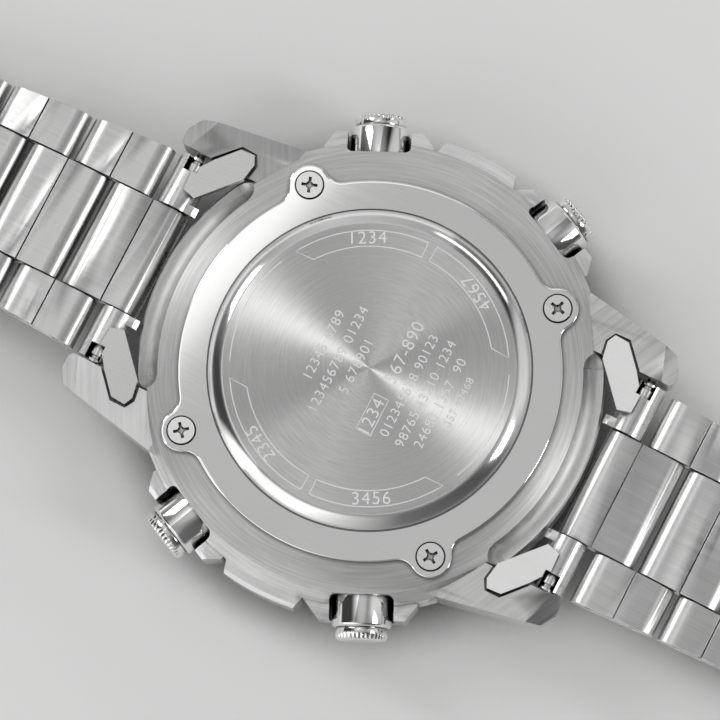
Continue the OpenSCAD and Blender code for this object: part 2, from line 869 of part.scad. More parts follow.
module centre_link(n, i) {
  k = i / 2;
  x = centre_w / 2;
  color("silver")
    on_link(n, i) {
      difference() {
        if (i == 0)
          along_x(-x, x) {
            circle(roll_r);
            translate([0, -roll_r]) square([roll_l + 0.3, 2 * roll_r]);
            intersection() {
              fold_outline(-over, half_pitch + over);
              translate([roll_l, -5]) square([20, 10]);
            }
          }
        else
          along_x(-x, x) fold_outline(-over, half_pitch + over);
        fold_cuts(i == 0 ? bar_hole_r : pin_hole_r, pin_hole_r, i == 0 ? roll_l : half_pitch / 2);
      }
      if (i > 0) rod(pin_r, -half_w(k) + 0.25, half_w(k) - 0.25);
      translate([0, half_pitch, 0]) rod(pin_r, -half_w(k) + 0.25, half_w(k) - 0.25);
    }
}

module outer_links(n, i) {
  k = (i - 1) / 2;
  w0 = half_w(k);
  w1 = half_w(k + 1);
  last = i == n - 1;
  color("darkgray")
    on_link(n, i) {
      both_sides()
        difference() {
          intersection() {
            along_x(outer_in, w0) fold_outline(-over, half_pitch + over);
            translate([0, 0, -link_t])
              linear_extrude(height = 2 * link_t)
                polygon([
                  [outer_in, -over - 1], [w0, -over - 1], [w0, -over],
                  [w1, half_pitch + over], [w1, half_pitch + over + 1],
                  [outer_in, half_pitch + over + 1]
                ]);
          }
          fold_cuts(pin_hole_r, last ? clasp_hole_r : pin_hole_r, half_pitch / 2);
        }
      if (last && n == n12)
        difference() {
          along_x(-centre_w / 2, centre_w / 2)
            fold_outline(half_pitch - over, half_pitch + over);
          translate([0, half_pitch, 0]) rod(clasp_hole_r, -20, 20);
        }
    }
}

// Clasp

module clasp_at(s, o) {
  translate([0, clasp_y, clasp_r])
    rotate([deg(s), 0, 0])
      translate([0, 0, o - clasp_r])
        children();
}

// A profile round the clasp's centre of curve, run along X from x0 to x1
module clasp_profile(x0, x1) {
  translate([0, clasp_y, clasp_r])
    along_x(x0, x1)
      children();
}

// A curved band from s0 to s1, from depth o0 to o1
module band(s0, s1, o0, o1) {
  far = clasp_r * 1.2;
  intersection() {
    difference() {
      circle(clasp_r - o0, $fn = 360);
      circle(clasp_r - o1, $fn = 360);
    }
    polygon([
      [0, 0], [far * sin(deg(s0)), -far * cos(deg(s0))],
      [far * sin(deg(s1)), -far * cos(deg(s1))]
    ]);
  }
}

// A disc in the clasp's profile
module dot(s, o, r) {
  translate([(clasp_r - o) * sin(deg(s)), -(clasp_r - o) * cos(deg(s))]) circle(r);
}

module strip(s0, s1, o0, o1, x0, x1) {
  clasp_profile(x0, x1) band(s0, s1, o0, o1);
}

// The tongue of the cover's sheet that curls round the hinge pin
module cover_tongue() {
  band(clasp_hinge_s - knuckle_r - 0.55, clasp_hinge_s, 0, clasp_t);
  dot(clasp_hinge_s, hinge_o, knuckle_r);
}

module clasp_cover() {
  x1 = clasp_w / 2;
  x0 = x1 - clasp_t;
  centre_x = centre_w / 2 + 0.5;
  near = -clasp_bar_s + over + 0.6;
  color("lightgray") {
    difference() {
      union() {
        strip(near, clasp_hinge_s - knuckle_r - 0.55, 0, clasp_t, -x0, x0);
        both_sides() {
          clasp_profile(centre_x, x0) cover_tongue();
          clasp_profile(x0, x1) {
            band(-clasp_bar_s, clasp_hinge_s - 2.5, 0, clasp_side_h);
            band(clasp_hinge_s - 2.6, clasp_hinge_s, 0, clasp_t);
            dot(clasp_hinge_s, hinge_o, knuckle_r);
            dot(-clasp_bar_s, clasp_side_h / 2, clasp_side_h / 2 - 0.02);
          }
        }
      }
      clasp_at(-clasp_bar_s, bar12_o) rod(clasp_bar_r * 0.6 + pin_clear, -20, 20);
      clasp_at(clasp_hinge_s, hinge_o) rod(clasp_pin_r + pin_clear, -20, 20);
    }
    clasp_at(clasp_hinge_s, hinge_o) rod(clasp_pin_r, -x1 + 0.1, x1 - 0.1);
  }
}

module clasp_middle_leaf() {
  x1 = centre_w / 2 + 0.25;
  x0 = 2.95;
  color("silver") {
    difference() {
      union() {
        strip(fold_s, clasp_hinge_s, middle_o, middle_o + clasp_t, -x1, x1);
        clasp_at(clasp_hinge_s, hinge_o) rod(knuckle_r, -x1, x1);
        both_sides() clasp_at(fold_s, fold_o) rod(knuckle_r, x0, x1);
      }
      strip(fold_s - 5, fold_s + knuckle_r + 0.3, 0, 6, -x0, x0);
      clasp_at(clasp_hinge_s, hinge_o) rod(clasp_pin_r + pin_clear, -20, 20);
      clasp_at(fold_s, fold_o) rod(clasp_pin_r + pin_clear, -20, 20);
    }
    clasp_at(fold_s, fold_o) rod(clasp_pin_r, -x1 + 0.1, x1 - 0.1);
  }
}

module clasp_inner_leaf() {
  x1 = centre_w / 2;
  x0 = 2.8;
  color("darkgray")
    difference() {
      union() {
        strip(fold_s + knuckle_r + 0.3, bar6_s, inner_o, inner_o + clasp_t, -x1, x1);
        strip(fold_s, fold_s + knuckle_r + 0.5, inner_o, inner_o + clasp_t, -x0, x0);
        clasp_at(fold_s, fold_o) rod(knuckle_r, -x0, x0);
        clasp_at(bar6_s, bar6_o) rod(link_t / 2, -x1, x1);
      }
      clasp_at(fold_s, fold_o) rod(clasp_pin_r + pin_clear, -20, 20);
      clasp_at(bar6_s, bar6_o) rod(clasp_bar_r + pin_clear, -20, 20);
    }
}

module clasp_bar_12() {
  x1 = clasp_w / 2 - clasp_t;
  color("whitesmoke")
    clasp_at(-clasp_bar_s, bar12_o) {
      rod(clasp_bar_r, -x1 + 0.1, x1 - 0.1);
      rod(clasp_bar_r * 0.6, -x1 - clasp_t + 0.1, x1 + clasp_t - 0.1);
    }
}

module clasp_bar_6() {
  x1 = strap_end_w / 2 - 0.6;
  color("whitesmoke")
    clasp_at(bar6_s, bar6_o) {
      rod(clasp_bar_r, -x1, x1);
      rod(clasp_bar_r * 0.6, -x1 - 0.5, x1 + 0.5);
    }
}

case_middle();
bezel();
crystal();
crystal_gasket();
dial_ring();
face_plate();
lcd_panel();
light_panel();
zebra_strips();
module_frame();
circuit_board();
quartz_crystal();
coin_cell();
battery_clip();
pusher_contacts();
buzzer_disc();
buzzer_spring();
back_gasket();
case_back();
back_screws();
pusher_seals();
end_piece();  // end_piece_12
mirror([0, 1, 0]) end_piece();  // end_piece_6
lug_spring_bars();
pusher(pusher_a);  // pusher_10
pusher(-pusher_a);  // pusher_8
pusher(180 + pusher_a);  // pusher_4
pusher(180 - pusher_a);  // pusher_2
pusher_clip(pusher_a);  // clip_10
pusher_clip(-pusher_a);  // clip_8
pusher_clip(180 + pusher_a);  // clip_4
pusher_clip(180 - pusher_a);  // clip_2
pusher_spring(pusher_a);  // spring_10
pusher_spring(-pusher_a);  // spring_8
pusher_spring(180 + pusher_a);  // spring_4
pusher_spring(180 - pusher_a);  // spring_2
centre_link(n12, 0);  // centre_12_1
outer_links(n12, 1);  // outer_12_1
centre_link(n12, 2);  // centre_12_2
outer_links(n12, 3);  // outer_12_2
centre_link(n12, 4);  // centre_12_3
outer_links(n12, 5);  // outer_12_3
centre_link(n12, 6);  // centre_12_4
outer_links(n12, 7);  // outer_12_4
centre_link(n6, 0);  // centre_6_1
outer_links(n6, 1);  // outer_6_1
centre_link(n6, 2);  // centre_6_2
outer_links(n6, 3);  // outer_6_2
centre_link(n6, 4);  // centre_6_3
outer_links(n6, 5);  // outer_6_3
centre_link(n6, 6);  // centre_6_4
outer_links(n6, 7);  // outer_6_4
centre_link(n6, 8);  // centre_6_5
outer_links(n6, 9);  // outer_6_5
clasp_cover();
clasp_middle_leaf();
clasp_inner_leaf();
clasp_bar_12();
clasp_bar_6();
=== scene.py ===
# %% [markdown]
# A steel watch lies on its face, with its bracelet spread open behind it. The shapes come from
# the imported model, which is loaded as a fixed frame: each named body is an empty, and every
# piece made here rides on one of them. This file adds the finishes, the smooth turned pieces
# and the engraving.

# %% Load the frame
import json
import math

import bmesh
import bpy
from mathutils import Matrix, Vector


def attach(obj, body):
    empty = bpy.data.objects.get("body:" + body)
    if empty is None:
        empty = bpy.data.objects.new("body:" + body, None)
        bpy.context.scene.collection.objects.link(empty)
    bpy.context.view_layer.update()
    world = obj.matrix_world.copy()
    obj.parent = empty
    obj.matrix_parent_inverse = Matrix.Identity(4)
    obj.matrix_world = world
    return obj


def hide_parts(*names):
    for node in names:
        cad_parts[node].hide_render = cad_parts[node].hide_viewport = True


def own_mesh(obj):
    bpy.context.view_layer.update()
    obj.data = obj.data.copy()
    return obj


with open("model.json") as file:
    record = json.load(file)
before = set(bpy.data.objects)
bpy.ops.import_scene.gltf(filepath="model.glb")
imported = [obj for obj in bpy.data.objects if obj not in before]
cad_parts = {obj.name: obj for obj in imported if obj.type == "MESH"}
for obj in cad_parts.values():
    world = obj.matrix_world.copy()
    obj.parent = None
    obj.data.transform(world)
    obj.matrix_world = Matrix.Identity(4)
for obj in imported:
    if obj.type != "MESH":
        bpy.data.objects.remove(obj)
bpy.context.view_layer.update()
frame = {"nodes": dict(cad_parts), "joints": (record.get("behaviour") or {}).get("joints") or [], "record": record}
MM = 0.001

# %% [markdown]
# The camera stands almost straight above the case back, a little towards the lower edge of the
# picture, and far enough away for a long lens. It is written as the object's turn and shift in
# front of the lens, and the camera's own matrix is the inverse of that.

# %% Camera
def linked(name, data):
    """A new object, in the scene."""
    made = bpy.data.objects.new(name, data)
    bpy.context.scene.collection.objects.link(made)
    return made


TILT = math.radians(-8.9)
ROLL = math.radians(-2.36)
TURN = math.radians(62.78)
OBJECT_FROM_LENS = Vector((1.34, -2.58, -400.0)) * MM
SENSOR = 36.0
FOCAL_PIXELS = 4195.0
PICTURE_PIXELS = 720.0

turned = Matrix.Rotation(TILT, 4, "X") @ Matrix.Rotation(ROLL, 4, "Y") @ Matrix.Rotation(TURN, 4, "Z")
camera_data = bpy.data.cameras.new("camera")
camera_data.sensor_width = SENSOR
camera_data.lens = FOCAL_PIXELS / PICTURE_PIXELS * SENSOR
camera_data.clip_start, camera_data.clip_end = 0.01, 20
camera = linked("camera", camera_data)
camera.matrix_world = (Matrix.Translation(OBJECT_FROM_LENS) @ turned).inverted()
bpy.context.scene.camera = camera
bpy.context.scene.view_settings.view_transform = "Standard"

# Directions of the picture, in the frame's own axes
picture_right = (turned.inverted() @ Vector((1, 0, 0, 0))).to_3d()
picture_up = (turned.inverted() @ Vector((0, 1, 0, 0))).to_3d()
picture_out = (turned.inverted() @ Vector((0, 0, 1, 0))).to_3d()
print("lens", round(camera_data.lens, 1), "up", [round(c, 2) for c in picture_up])

# %% [markdown]
# Node trees are built by small helpers, so that a material or a shape reads like a list of its
# nodes: each call names the kind of node, its settings and what goes into its sockets.

# %% Node helpers
def feed(tree, sockets, values):
    """Links each named socket to an output, or sets it to a constant."""
    for socket, value in dict(values).items():
        if isinstance(value, bpy.types.NodeSocket):
            tree.links.new(value, sockets[socket])
        else:
            sockets[socket].default_value = value


def add(tree, kind, inputs=(), **settings):
    made = tree.nodes.new(kind)
    for key, value in settings.items():
        setattr(made, key, value)
    feed(tree, made.inputs, inputs)
    return made


def out_of(tree, kind, inputs=(), **settings):
    """The first output of a new node."""
    return add(tree, kind, inputs, **settings).outputs[0]


def maths(tree, operation, *values):
    return out_of(tree, "ShaderNodeMath", enumerate(values), operation=operation)


def vector_maths(tree, operation, *values):
    return add(tree, "ShaderNodeVectorMath", enumerate(values), operation=operation).outputs


def scaled(tree, colour, factor):
    return out_of(tree, "ShaderNodeVectorMath", {0: colour, "Scale": factor}, operation="SCALE")


def vector(tree, *values):
    return out_of(tree, "ShaderNodeCombineXYZ", enumerate(values))


def carried(tree, value, start, end, low, high, kind="LINEAR"):
    """A value, carried from the range start to end to the range low to high."""
    given = enumerate((value, start, end, low, high))
    return out_of(tree, "ShaderNodeMapRange", given, interpolation_type=kind)


def ramp(tree, value, *stops):
    made = add(tree, "ShaderNodeValToRGB", {0: value})
    points = made.color_ramp.elements
    while len(points) < len(stops):
        points.new(0.5)
    for point, (place, grey) in zip(points, stops):
        point.position = place
        point.color = (grey, grey, grey, 1) if isinstance(grey, (int, float)) else (*grey, 1)
    return made.outputs[0]


# %% [markdown]
# Polished steel shows what is round it. A flat face seen from above mirrors a small patch of sky
# near the zenith, and a round bar mirrors all of it. So the sky is grey overhead, darker half way
# down, where round bars pick up their dark lines, and pale at the horizon. Half way up it also
# changes round the room, like walls with windows, and the rounded shoulder of the cover shows
# that as a ring of light and dark. The patch that the flat cover mirrors turns from grey to
# white towards one side, as it does beside a window.

# %% World
world = bpy.data.worlds.new("studio")
bpy.context.scene.world = world
world.use_nodes = True
sky = world.node_tree
sky.nodes.clear()
direction = add(sky, "ShaderNodeTexCoord").outputs["Generated"]
height = add(sky, "ShaderNodeSeparateXYZ", {0: direction}).outputs["Z"]
by_height = ramp(sky, height, (0.0, 0.40), (0.12, 0.32), (0.3, 0.15), (0.62, 0.18), (0.82, 0.2),
                 (0.93, 0.3), (0.972, 0.5), (1.0, 0.56))
to_right = vector_maths(sky, "DOT_PRODUCT", direction, picture_right)["Value"]
to_up = vector_maths(sky, "DOT_PRODUCT", direction, picture_up)["Value"]
turn = maths(sky, "FRACT", maths(sky, "DIVIDE", maths(sky, "ARCTAN2", to_up, to_right), 2 * math.pi))
by_side = ramp(sky, turn, (0.0, 0.75), (0.085, 0.6), (0.115, 0.02), (0.135, 0.02), (0.17, 0.12), (0.29, 0.24),
               (0.38, 0.12), (0.45, 0.02), (0.52, 0.02), (0.57, 1.1), (0.65, 1.3), (0.7, 0.7), (0.78, 0.16),
               (0.9, 0.08), (0.93, 0.1), (1.0, 0.75))
low = carried(sky, height, 0.05, 0.2, 0.0, 1.0, "SMOOTHSTEP")
high = carried(sky, height, 0.74, 0.955, 1.0, 0.0, "SMOOTHSTEP")
share = maths(sky, "MULTIPLY", low, high)
walls = add(sky, "ShaderNodeMix", {0: share, 6: by_height, 7: by_side}, data_type="RGBA").outputs[2]
mirrored = Vector((-picture_out.x, -picture_out.y, picture_out.z))
bright_side = -picture_right * 0.731 + picture_up * 0.682
middle = mirrored.dot(bright_side) - 0.0068
along = vector_maths(sky, "DOT_PRODUCT", direction, bright_side)["Value"]
fade = carried(sky, along, middle + 0.036, middle + 0.042, 1.0, 2.5, "SMOOTHSTEP")
background = out_of(sky, "ShaderNodeBackground", {"Color": scaled(sky, walls, fade), "Strength": 1.0})
add(sky, "ShaderNodeOutputWorld", {"Surface": background})

# %% [markdown]
# Two soft boxes stand over the ends of the bracelet. The brushing runs in circles, and such a
# face lights up along the line that points at a lamp, so these two make the bright bow on the
# disc. They also give each rounded link its bright line. A third box at the side keeps the
# pushers and lugs from going dull.

# %% Lamps
def soft_box(name, azimuth, from_zenith, size, radiance, distance=0.9):
    data = bpy.data.lights.new(name, "AREA")
    data.shape = "RECTANGLE"
    data.size, data.size_y = size
    data.energy = radiance * math.pi * size[0] * size[1]
    lamp = linked(name, data)
    turn, drop = math.radians(azimuth), math.radians(from_zenith)
    towards = Vector((math.cos(turn) * math.sin(drop), math.sin(turn) * math.sin(drop), math.cos(drop)))
    lamp.location = towards * distance
    lamp.rotation_mode = "QUATERNION"
    lamp.rotation_quaternion = towards.to_track_quat("Z", "Y")
    print(name, "energy", round(data.energy, 2))


soft_box("twelve_box", 77, 52, (0.20, 0.40), 5.2)
soft_box("six_box", 276, 56, (0.20, 0.30), 7.0)
soft_box("nine_box", 350, 64, (0.5, 0.2), 1.6)

# %% [markdown]
# The floor is a plain pale sheet. It lies a hair under the watch so that no face shares a plane
# with it, and it is wide enough to fill low views. To the camera and in reflections it is a
# little paler in the open and darkened near the watch by an occlusion node: a painted shadow.

# %% Floor
def new_material(name):
    """A material with its tree, its shader's sockets and the place on the object."""
    made = bpy.data.materials.new(name)
    made.use_nodes = True
    tree = made.node_tree
    return made, tree, tree.nodes["Principled BSDF"].inputs, add(tree, "ShaderNodeTexCoord").outputs["Object"]


def floor_material():
    made, tree, shader, place = new_material("pale_floor")
    cloud = add(tree, "ShaderNodeTexNoise", {"Vector": place, "Scale": 9.0, "Detail": 3.0})
    tone = ramp(tree, cloud.outputs["Fac"], (0.3, (0.80, 0.80, 0.795)), (0.7, (0.83, 0.83, 0.825)))
    light = add(tree, "ShaderNodeLightPath").outputs
    seen = maths(tree, "MAXIMUM", light["Is Camera Ray"], light["Is Glossy Ray"])
    # Painted shadow: an occlusion node darkens the floor under and beside the watch, for camera and glossy rays.
    near = add(tree, "ShaderNodeAmbientOcclusion", {"Distance": 9 * MM}, samples=10).outputs["AO"]
    shade = carried(tree, near, 0.32, 0.7, 0.02, 1.2)
    factor = out_of(tree, "ShaderNodeMix", {0: seen, 2: 1.0, 3: shade}, data_type="FLOAT")
    feed(tree, shader, {"Base Color": scaled(tree, tone, factor), "Roughness": 0.7})
    return made


FLOOR_HALF, FLOOR_Z = 4.0, -0.05 * MM
corners = [(x * FLOOR_HALF, y * FLOOR_HALF, FLOOR_Z) for x, y in ((-1, -1), (1, -1), (1, 1), (-1, 1))]
floor_mesh = bpy.data.meshes.new("floor")
floor_mesh.from_pydata(corners, [], [(0, 1, 2, 3)])
floor_mesh.materials.append(floor_material())
floor = linked("floor", floor_mesh)

# %% [markdown]
# Brushed steel is a field of fine parallel scratches. A node group makes them once for every
# finish: it stretches a noise along one direction, and gives out a value from 0 to 1 that a
# material can use for its tone, its roughness and its relief.

# %% Groups for the brushing
def group(name, ins, outs):
    """A shader group, with a vector for each input and the kinds named for its outputs."""
    made = bpy.data.node_groups.new(name, "ShaderNodeTree")
    for label, value in ins.items():
        socket = made.interface.new_socket(label, in_out="INPUT", socket_type="NodeSocketVector")
        socket.default_value = value
    for label, kind in outs.items():
        made.interface.new_socket(label, in_out="OUTPUT", socket_type=kind)
    return made, made.nodes.new("NodeGroupInput").outputs, made.nodes.new("NodeGroupOutput").inputs


def straight_brushing():
    tree, given, out = group("straight_brushing", {"Vector": (0, 0, 0), "Stretch": (9000, 260, 400)},
                             {"Value": "NodeSocketFloat", "Cloud": "NodeSocketFloat"})
    thin = vector_maths(tree, "MULTIPLY", given["Vector"], given["Stretch"])["Vector"]
    fine = out_of(tree, "ShaderNodeTexNoise", {"Vector": thin, "Scale": 1.0, "Detail": 1.0, "Roughness": 0.6})
    wide = out_of(tree, "ShaderNodeTexNoise", {"Vector": given["Vector"], "Scale": 160.0, "Detail": 2.0})
    feed(tree, out, {"Value": fine, "Cloud": wide})
    return tree


def round_place():
    """Wraps the place round the axis, so that a brushing along Z runs in circles."""
    tree, given, out = group("round_place", {"Vector": (0, 0, 0)}, {"Vector": "NodeSocketVector"})
    flat = vector_maths(tree, "MULTIPLY", given["Vector"], (1, 1, 0))["Vector"]
    radius = vector_maths(tree, "LENGTH", flat)["Value"]
    split = add(tree, "ShaderNodeSeparateXYZ", {0: vector_maths(tree, "NORMALIZE", flat)["Vector"]}).outputs
    feed(tree, out, {"Vector": vector(tree, split[0], split[1], radius)})
    return tree


BRUSHING = straight_brushing()
ROUND = round_place()


# %% [markdown]
# Every steel finish is the same Principled shader with its own tone, roughness and grain. The
# constant numbers sit on the shader's sockets, and only what changes over the surface comes in
# through links: the tone, the roughness and the relief of the grain. The tone is also darkened in
# crevices and between parts by an occlusion node, which is painted shade.

# %% Steel
def steel(name, tone, rough, grain=0.12, relief=0.02, metallic=1.0, stretch=(9000, 260, 400),
          circular=False, anisotropy=0.6, tangent=(1, 0, 0), cloud=0.04, turn=0, painted_crevice_shade=0.15):
    made, tree, shader, place = new_material(name)
    if circular:
        flat = vector_maths(tree, "MULTIPLY", place, (1, 1, 0))["Vector"]
        across = vector_maths(tree, "NORMALIZE", flat)["Vector"]
        place = out_of(tree, "ShaderNodeGroup", {"Vector": flat}, node_tree=ROUND)
    else:
        across = vector(tree, *tangent)
        if turn:
            lean = (0, 0, math.radians(turn))
            place = out_of(tree, "ShaderNodeMapping", {"Vector": place, "Rotation": lean})
    brush = add(tree, "ShaderNodeGroup", {"Vector": place, "Stretch": stretch}, node_tree=BRUSHING)
    value, wide = brush.outputs
    shade = maths(tree, "ADD", maths(tree, "MULTIPLY_ADD", value, 2 * grain, 1 - grain),
                  maths(tree, "MULTIPLY_ADD", wide, 2 * cloud, -cloud))
    # Painted shade: an occlusion node darkens the tone in crevices and between parts.
    near = add(tree, "ShaderNodeAmbientOcclusion", {"Distance": 0.6 * MM}, samples=8).outputs["AO"]
    shade = maths(tree, "MULTIPLY", shade, carried(tree, near, 0.3, 0.85, painted_crevice_shade, 1.0))
    colour = tone if isinstance(tone, tuple) else (tone, tone, tone - 0.005)
    feed(tree, shader, {"Base Color": scaled(tree, colour, shade), "Metallic": metallic,
                        "Anisotropic": anisotropy,
                        "Roughness": maths(tree, "MULTIPLY_ADD", value, 0.5 * rough, 0.75 * rough)})
    if relief:
        bump = {"Height": value, "Strength": relief, "Distance": 0.00004}
        feed(tree, shader, {"Normal": out_of(tree, "ShaderNodeBump", bump)})
    if anisotropy:
        feed(tree, shader, {"Tangent": across})
    return made


# %% [markdown]
# Four ways of finishing come back all over the watch, so each is a set of settings: turned in
# circles, drawn along a strip, ground straight on a lug, and polished. The lugs of the two sides
# were ground at mirrored angles.

# %% Table of steels
CIRCLES = (10, 10, 9000)
SPUN = {"relief": 0, "circular": True}
DRAWN = {"relief": 0, "stretch": (3600, 160, 240)}
GROUND = {"relief": 0, "stretch": (160, 3600, 240), "anisotropy": 0.2, "tangent": (-0.45, 0.89, 0),
          "turn": -27}
MIRROR_GROUND = dict(GROUND, tangent=(0.45, 0.89, 0), turn=27)
POLISHED = {"relief": 0, "anisotropy": 0}
STEELS = {
    "case_steel": dict(SPUN, tone=0.76, rough=0.42, grain=0.34, stretch=(4, 4, 5600), anisotropy=0.9),
    # The channel's rougher, less anisotropic finish is its own; its darker tone is partly painted shade in the
    # groove.
    "channel_steel_with_painted_shade": dict(SPUN, tone=0.66, rough=0.5, grain=0.16, stretch=(20, 20, 3000), anisotropy=0.3),
    # Painted highlight: the tabs are the ring's turned steel with a paler tone.
    "painted_highlight_tab_steel": dict(SPUN, tone=0.93, rough=0.42, grain=0.3, stretch=(4, 4, 5600), anisotropy=0.9),
    "lug_steel": dict(GROUND, tone=0.66, rough=0.24, grain=0.16),
    # Painted highlight: one lug gets a near-white, less metallic tone. Painted shade: the two lugs at the 6 end
    # get a darker tone, with their grain at the mirrored angle.
    "painted_highlight_lug_steel": dict(GROUND, tone=0.95, rough=0.4, grain=0.14, metallic=0.6),
    "painted_shade_mirror_lug_steel": dict(MIRROR_GROUND, tone=0.57, rough=0.3, grain=0.22),
    # Painted shade and painted highlight: the arms at the 12 end get a darker copy of the drawn steel, those at
    # the 6 end a near-white, less metallic one.
    "arm_steel_12": dict(DRAWN, tone=0.64, rough=0.27),
    "arm_steel_6": dict(DRAWN, tone=1.0, rough=0.4, grain=0.06, metallic=0.25),
    "end_piece_steel": dict(DRAWN, tone=0.74, rough=0.3, painted_crevice_shade=0.05),
    "clasp_steel": dict(DRAWN, tone=0.74, rough=0.28),
    "bezel_steel": dict(tone=0.72, rough=0.24, circular=True, stretch=CIRCLES),
    "cell_steel": dict(tone=0.7, rough=0.2, circular=True, stretch=CIRCLES),
    "disc_steel": dict(SPUN, tone=0.76, rough=0.44, grain=0.26, stretch=(4, 4, 6400), anisotropy=0.95),
    "shoulder_steel": dict(SPUN, tone=0.86, rough=0.13, grain=0.05, stretch=CIRCLES, painted_crevice_shade=0.05),
    "cover_steel": dict(POLISHED, tone=0.84, rough=0.05, grain=0.02, cloud=0.02, painted_crevice_shade=0.05),
    "screw_steel": dict(POLISHED, tone=0.82, rough=0.2, grain=0.08, painted_crevice_shade=0.04),
    "pusher_steel": dict(POLISHED, tone=0.84, rough=0.06, grain=0.03, painted_crevice_shade=0.05),
    "engraved_steel": dict(POLISHED, tone=0.97, rough=0.6, grain=0.03, metallic=0.1),
    "bar_steel": dict(tone=0.74, rough=0.2, tangent=(0, 1, 0), stretch=(260, 9000, 400)),
    "spring_steel": dict(tone=0.6, rough=0.3, anisotropy=0),
    "contact_brass": dict(tone=(0.75, 0.55, 0.25), rough=0.25, anisotropy=0),
}
# Painted shade and light: the link steel has a darker copy on the 12 side and a paler one on the 6 side.
for side, tone in (("12", 0.7), ("6", 0.81)):
    for kind, rough in (("centre", 0.33), ("outer", 0.35)):
        STEELS["%s_link_steel_%s" % (kind, side)] = dict(DRAWN, tone=tone, rough=rough, painted_crevice_shade=0.02)
finishes = {name: steel(name, **settings) for name, settings in STEELS.items()}
print("steels", len(finishes))

# %% [markdown]
# The pieces behind the glass are plastics, rubber and glass. Each gets a mottled tone and a
# fine relief, so that none of them is one flat colour.

# %% Plastics, rubber and glass
def moulded(name, dark, light, rough, relief=0.05):
    made, tree, shader, place = new_material(name)
    spots = out_of(tree, "ShaderNodeTexNoise", {"Vector": place, "Scale": 900.0, "Detail": 4.0})
    bump = out_of(tree, "ShaderNodeBump", {"Height": spots, "Strength": relief, "Distance": 0.00005})
    feed(tree, shader, {"Base Color": ramp(tree, spots, (0.3, dark), (0.7, light)), "Normal": bump,
                        "Roughness": maths(tree, "MULTIPLY_ADD", spots, 0.2, rough - 0.1)})
    return made


MOULDED = {
    "mineral_glass": ((0.97, 0.985, 0.98), (0.985, 0.99, 0.99), 0.12, 0.0),
    "seal_rubber": (0.03, 0.05, 0.7),
    "dial_plastic": ((0.05, 0.055, 0.06), (0.075, 0.08, 0.085), 0.5),
    "face_plastic": ((0.02, 0.02, 0.022), (0.035, 0.035, 0.038), 0.4),
    "mark_print": ((0.62, 0.63, 0.62), (0.72, 0.73, 0.72), 0.5),
    "display_glass": ((0.38, 0.42, 0.36), (0.42, 0.46, 0.4), 0.25),
    "segment_ink": ((0.012, 0.014, 0.014), (0.02, 0.022, 0.02), 0.4),
    "light_plastic": ((0.7, 0.8, 0.78), (0.75, 0.85, 0.82), 0.5),
    "zebra_rubber": ((0.6, 0.35, 0.35), (0.7, 0.45, 0.42), 0.6),
    "frame_plastic": ((0.04, 0.045, 0.05), (0.06, 0.065, 0.07), 0.55),
    "board_laminate": ((0.02, 0.12, 0.05), (0.03, 0.17, 0.07), 0.45),
}
finishes.update({name: moulded(name, *values) for name, values in MOULDED.items()})
clear = finishes["mineral_glass"].node_tree
feed(clear, clear.nodes["Principled BSDF"].inputs, {"Transmission Weight": 1.0, "IOR": 1.5})

# %% [markdown]
# Each CAD node already names its slot, so the finish goes straight into the node's material. The
# links have a finish for each side of the bracelet, darker on the 12 side as painted shade and
# paler on the 6 side as painted light, and their nodes are replaced further down.

# %% Dress the CAD nodes
for entry in frame["record"]["subparts"]:
    slot = entry["material_slot"]
    materials = frame["nodes"][entry["node"]].data.materials
    materials.clear()
    materials.append(finishes.get(slot) or finishes[slot + "_12"])
print("dressed", len(frame["nodes"]))

# %% [markdown]
# No machined edge is sharp: it is slightly rounded and mirrors a lamp as a narrow bright line.
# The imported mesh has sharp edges, so a copy of it is joined up, its flat faces are merged, and a
# Bevel modifier rounds every edge that turns by more than the given angle. Hardened normals keep
# the flat faces flat in the shading. The result replaces the node.

# %% Softened copies of the CAD nodes
def piece(name, mesh, body, slot, *nodes):
    made = linked(name, mesh)
    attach(made, body)
    if nodes:
        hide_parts(*nodes)
    return made


def kept(work, name, smooth=False):
    """The work as a mesh."""
    for face in work.faces:
        face.smooth = face.smooth or smooth
    mesh = bpy.data.meshes.new(name)
    work.to_mesh(mesh)
    work.free()
    return mesh


def applied(keeper, *modifiers):
    """The mesh of an object with modifiers, given as (kind, settings). The object goes."""
    for kind, settings in modifiers:
        modifier = keeper.modifiers.new(kind, kind)
        for key, value in settings.items():
            setattr(modifier, key, value)
    bpy.context.view_layer.update()
    result = bpy.data.meshes.new_from_object(keeper.evaluated_get(bpy.context.evaluated_depsgraph_get()))
    bpy.data.objects.remove(keeper)
    return result


def rounding(width, angle=28):
    return ("BEVEL", {"width": width * MM, "segments": 2, "limit_method": "ANGLE",
                      "angle_limit": math.radians(angle), "harden_normals": True, "use_clamp_overlap": True})


def joined_mesh(node):
    work = bmesh.new()
    work.from_mesh(frame["nodes"][node].data)
    bmesh.ops.remove_doubles(work, verts=work.verts, dist=0.0005 * MM)
    bmesh.ops.dissolve_limit(work, angle_limit=math.radians(0.6), verts=work.verts, edges=work.edges)
    mesh = kept(work, node, smooth=True)
    mesh.set_sharp_from_angle(angle=math.radians(28))
    return mesh


def softened(node, body, width, slot):
    mesh = applied(linked(node, joined_mesh(node)), rounding(width))
    mesh.materials.clear()
    mesh.materials.append(finishes[slot])
    return piece("soft_" + node, mesh, body, slot, node)


# %% [markdown]
# A link of this bracelet is a strip of steel, folded flat round two pins, with its ends meeting
# in a seam on the inner side. So each link is one outline, filled and pushed out along the pin. A
# Geometry Nodes tree does this: Fill Curve makes the section, which may have holes, Extrude Mesh
# gives it its length, and a taper lets the outer row follow the narrowing bracelet.

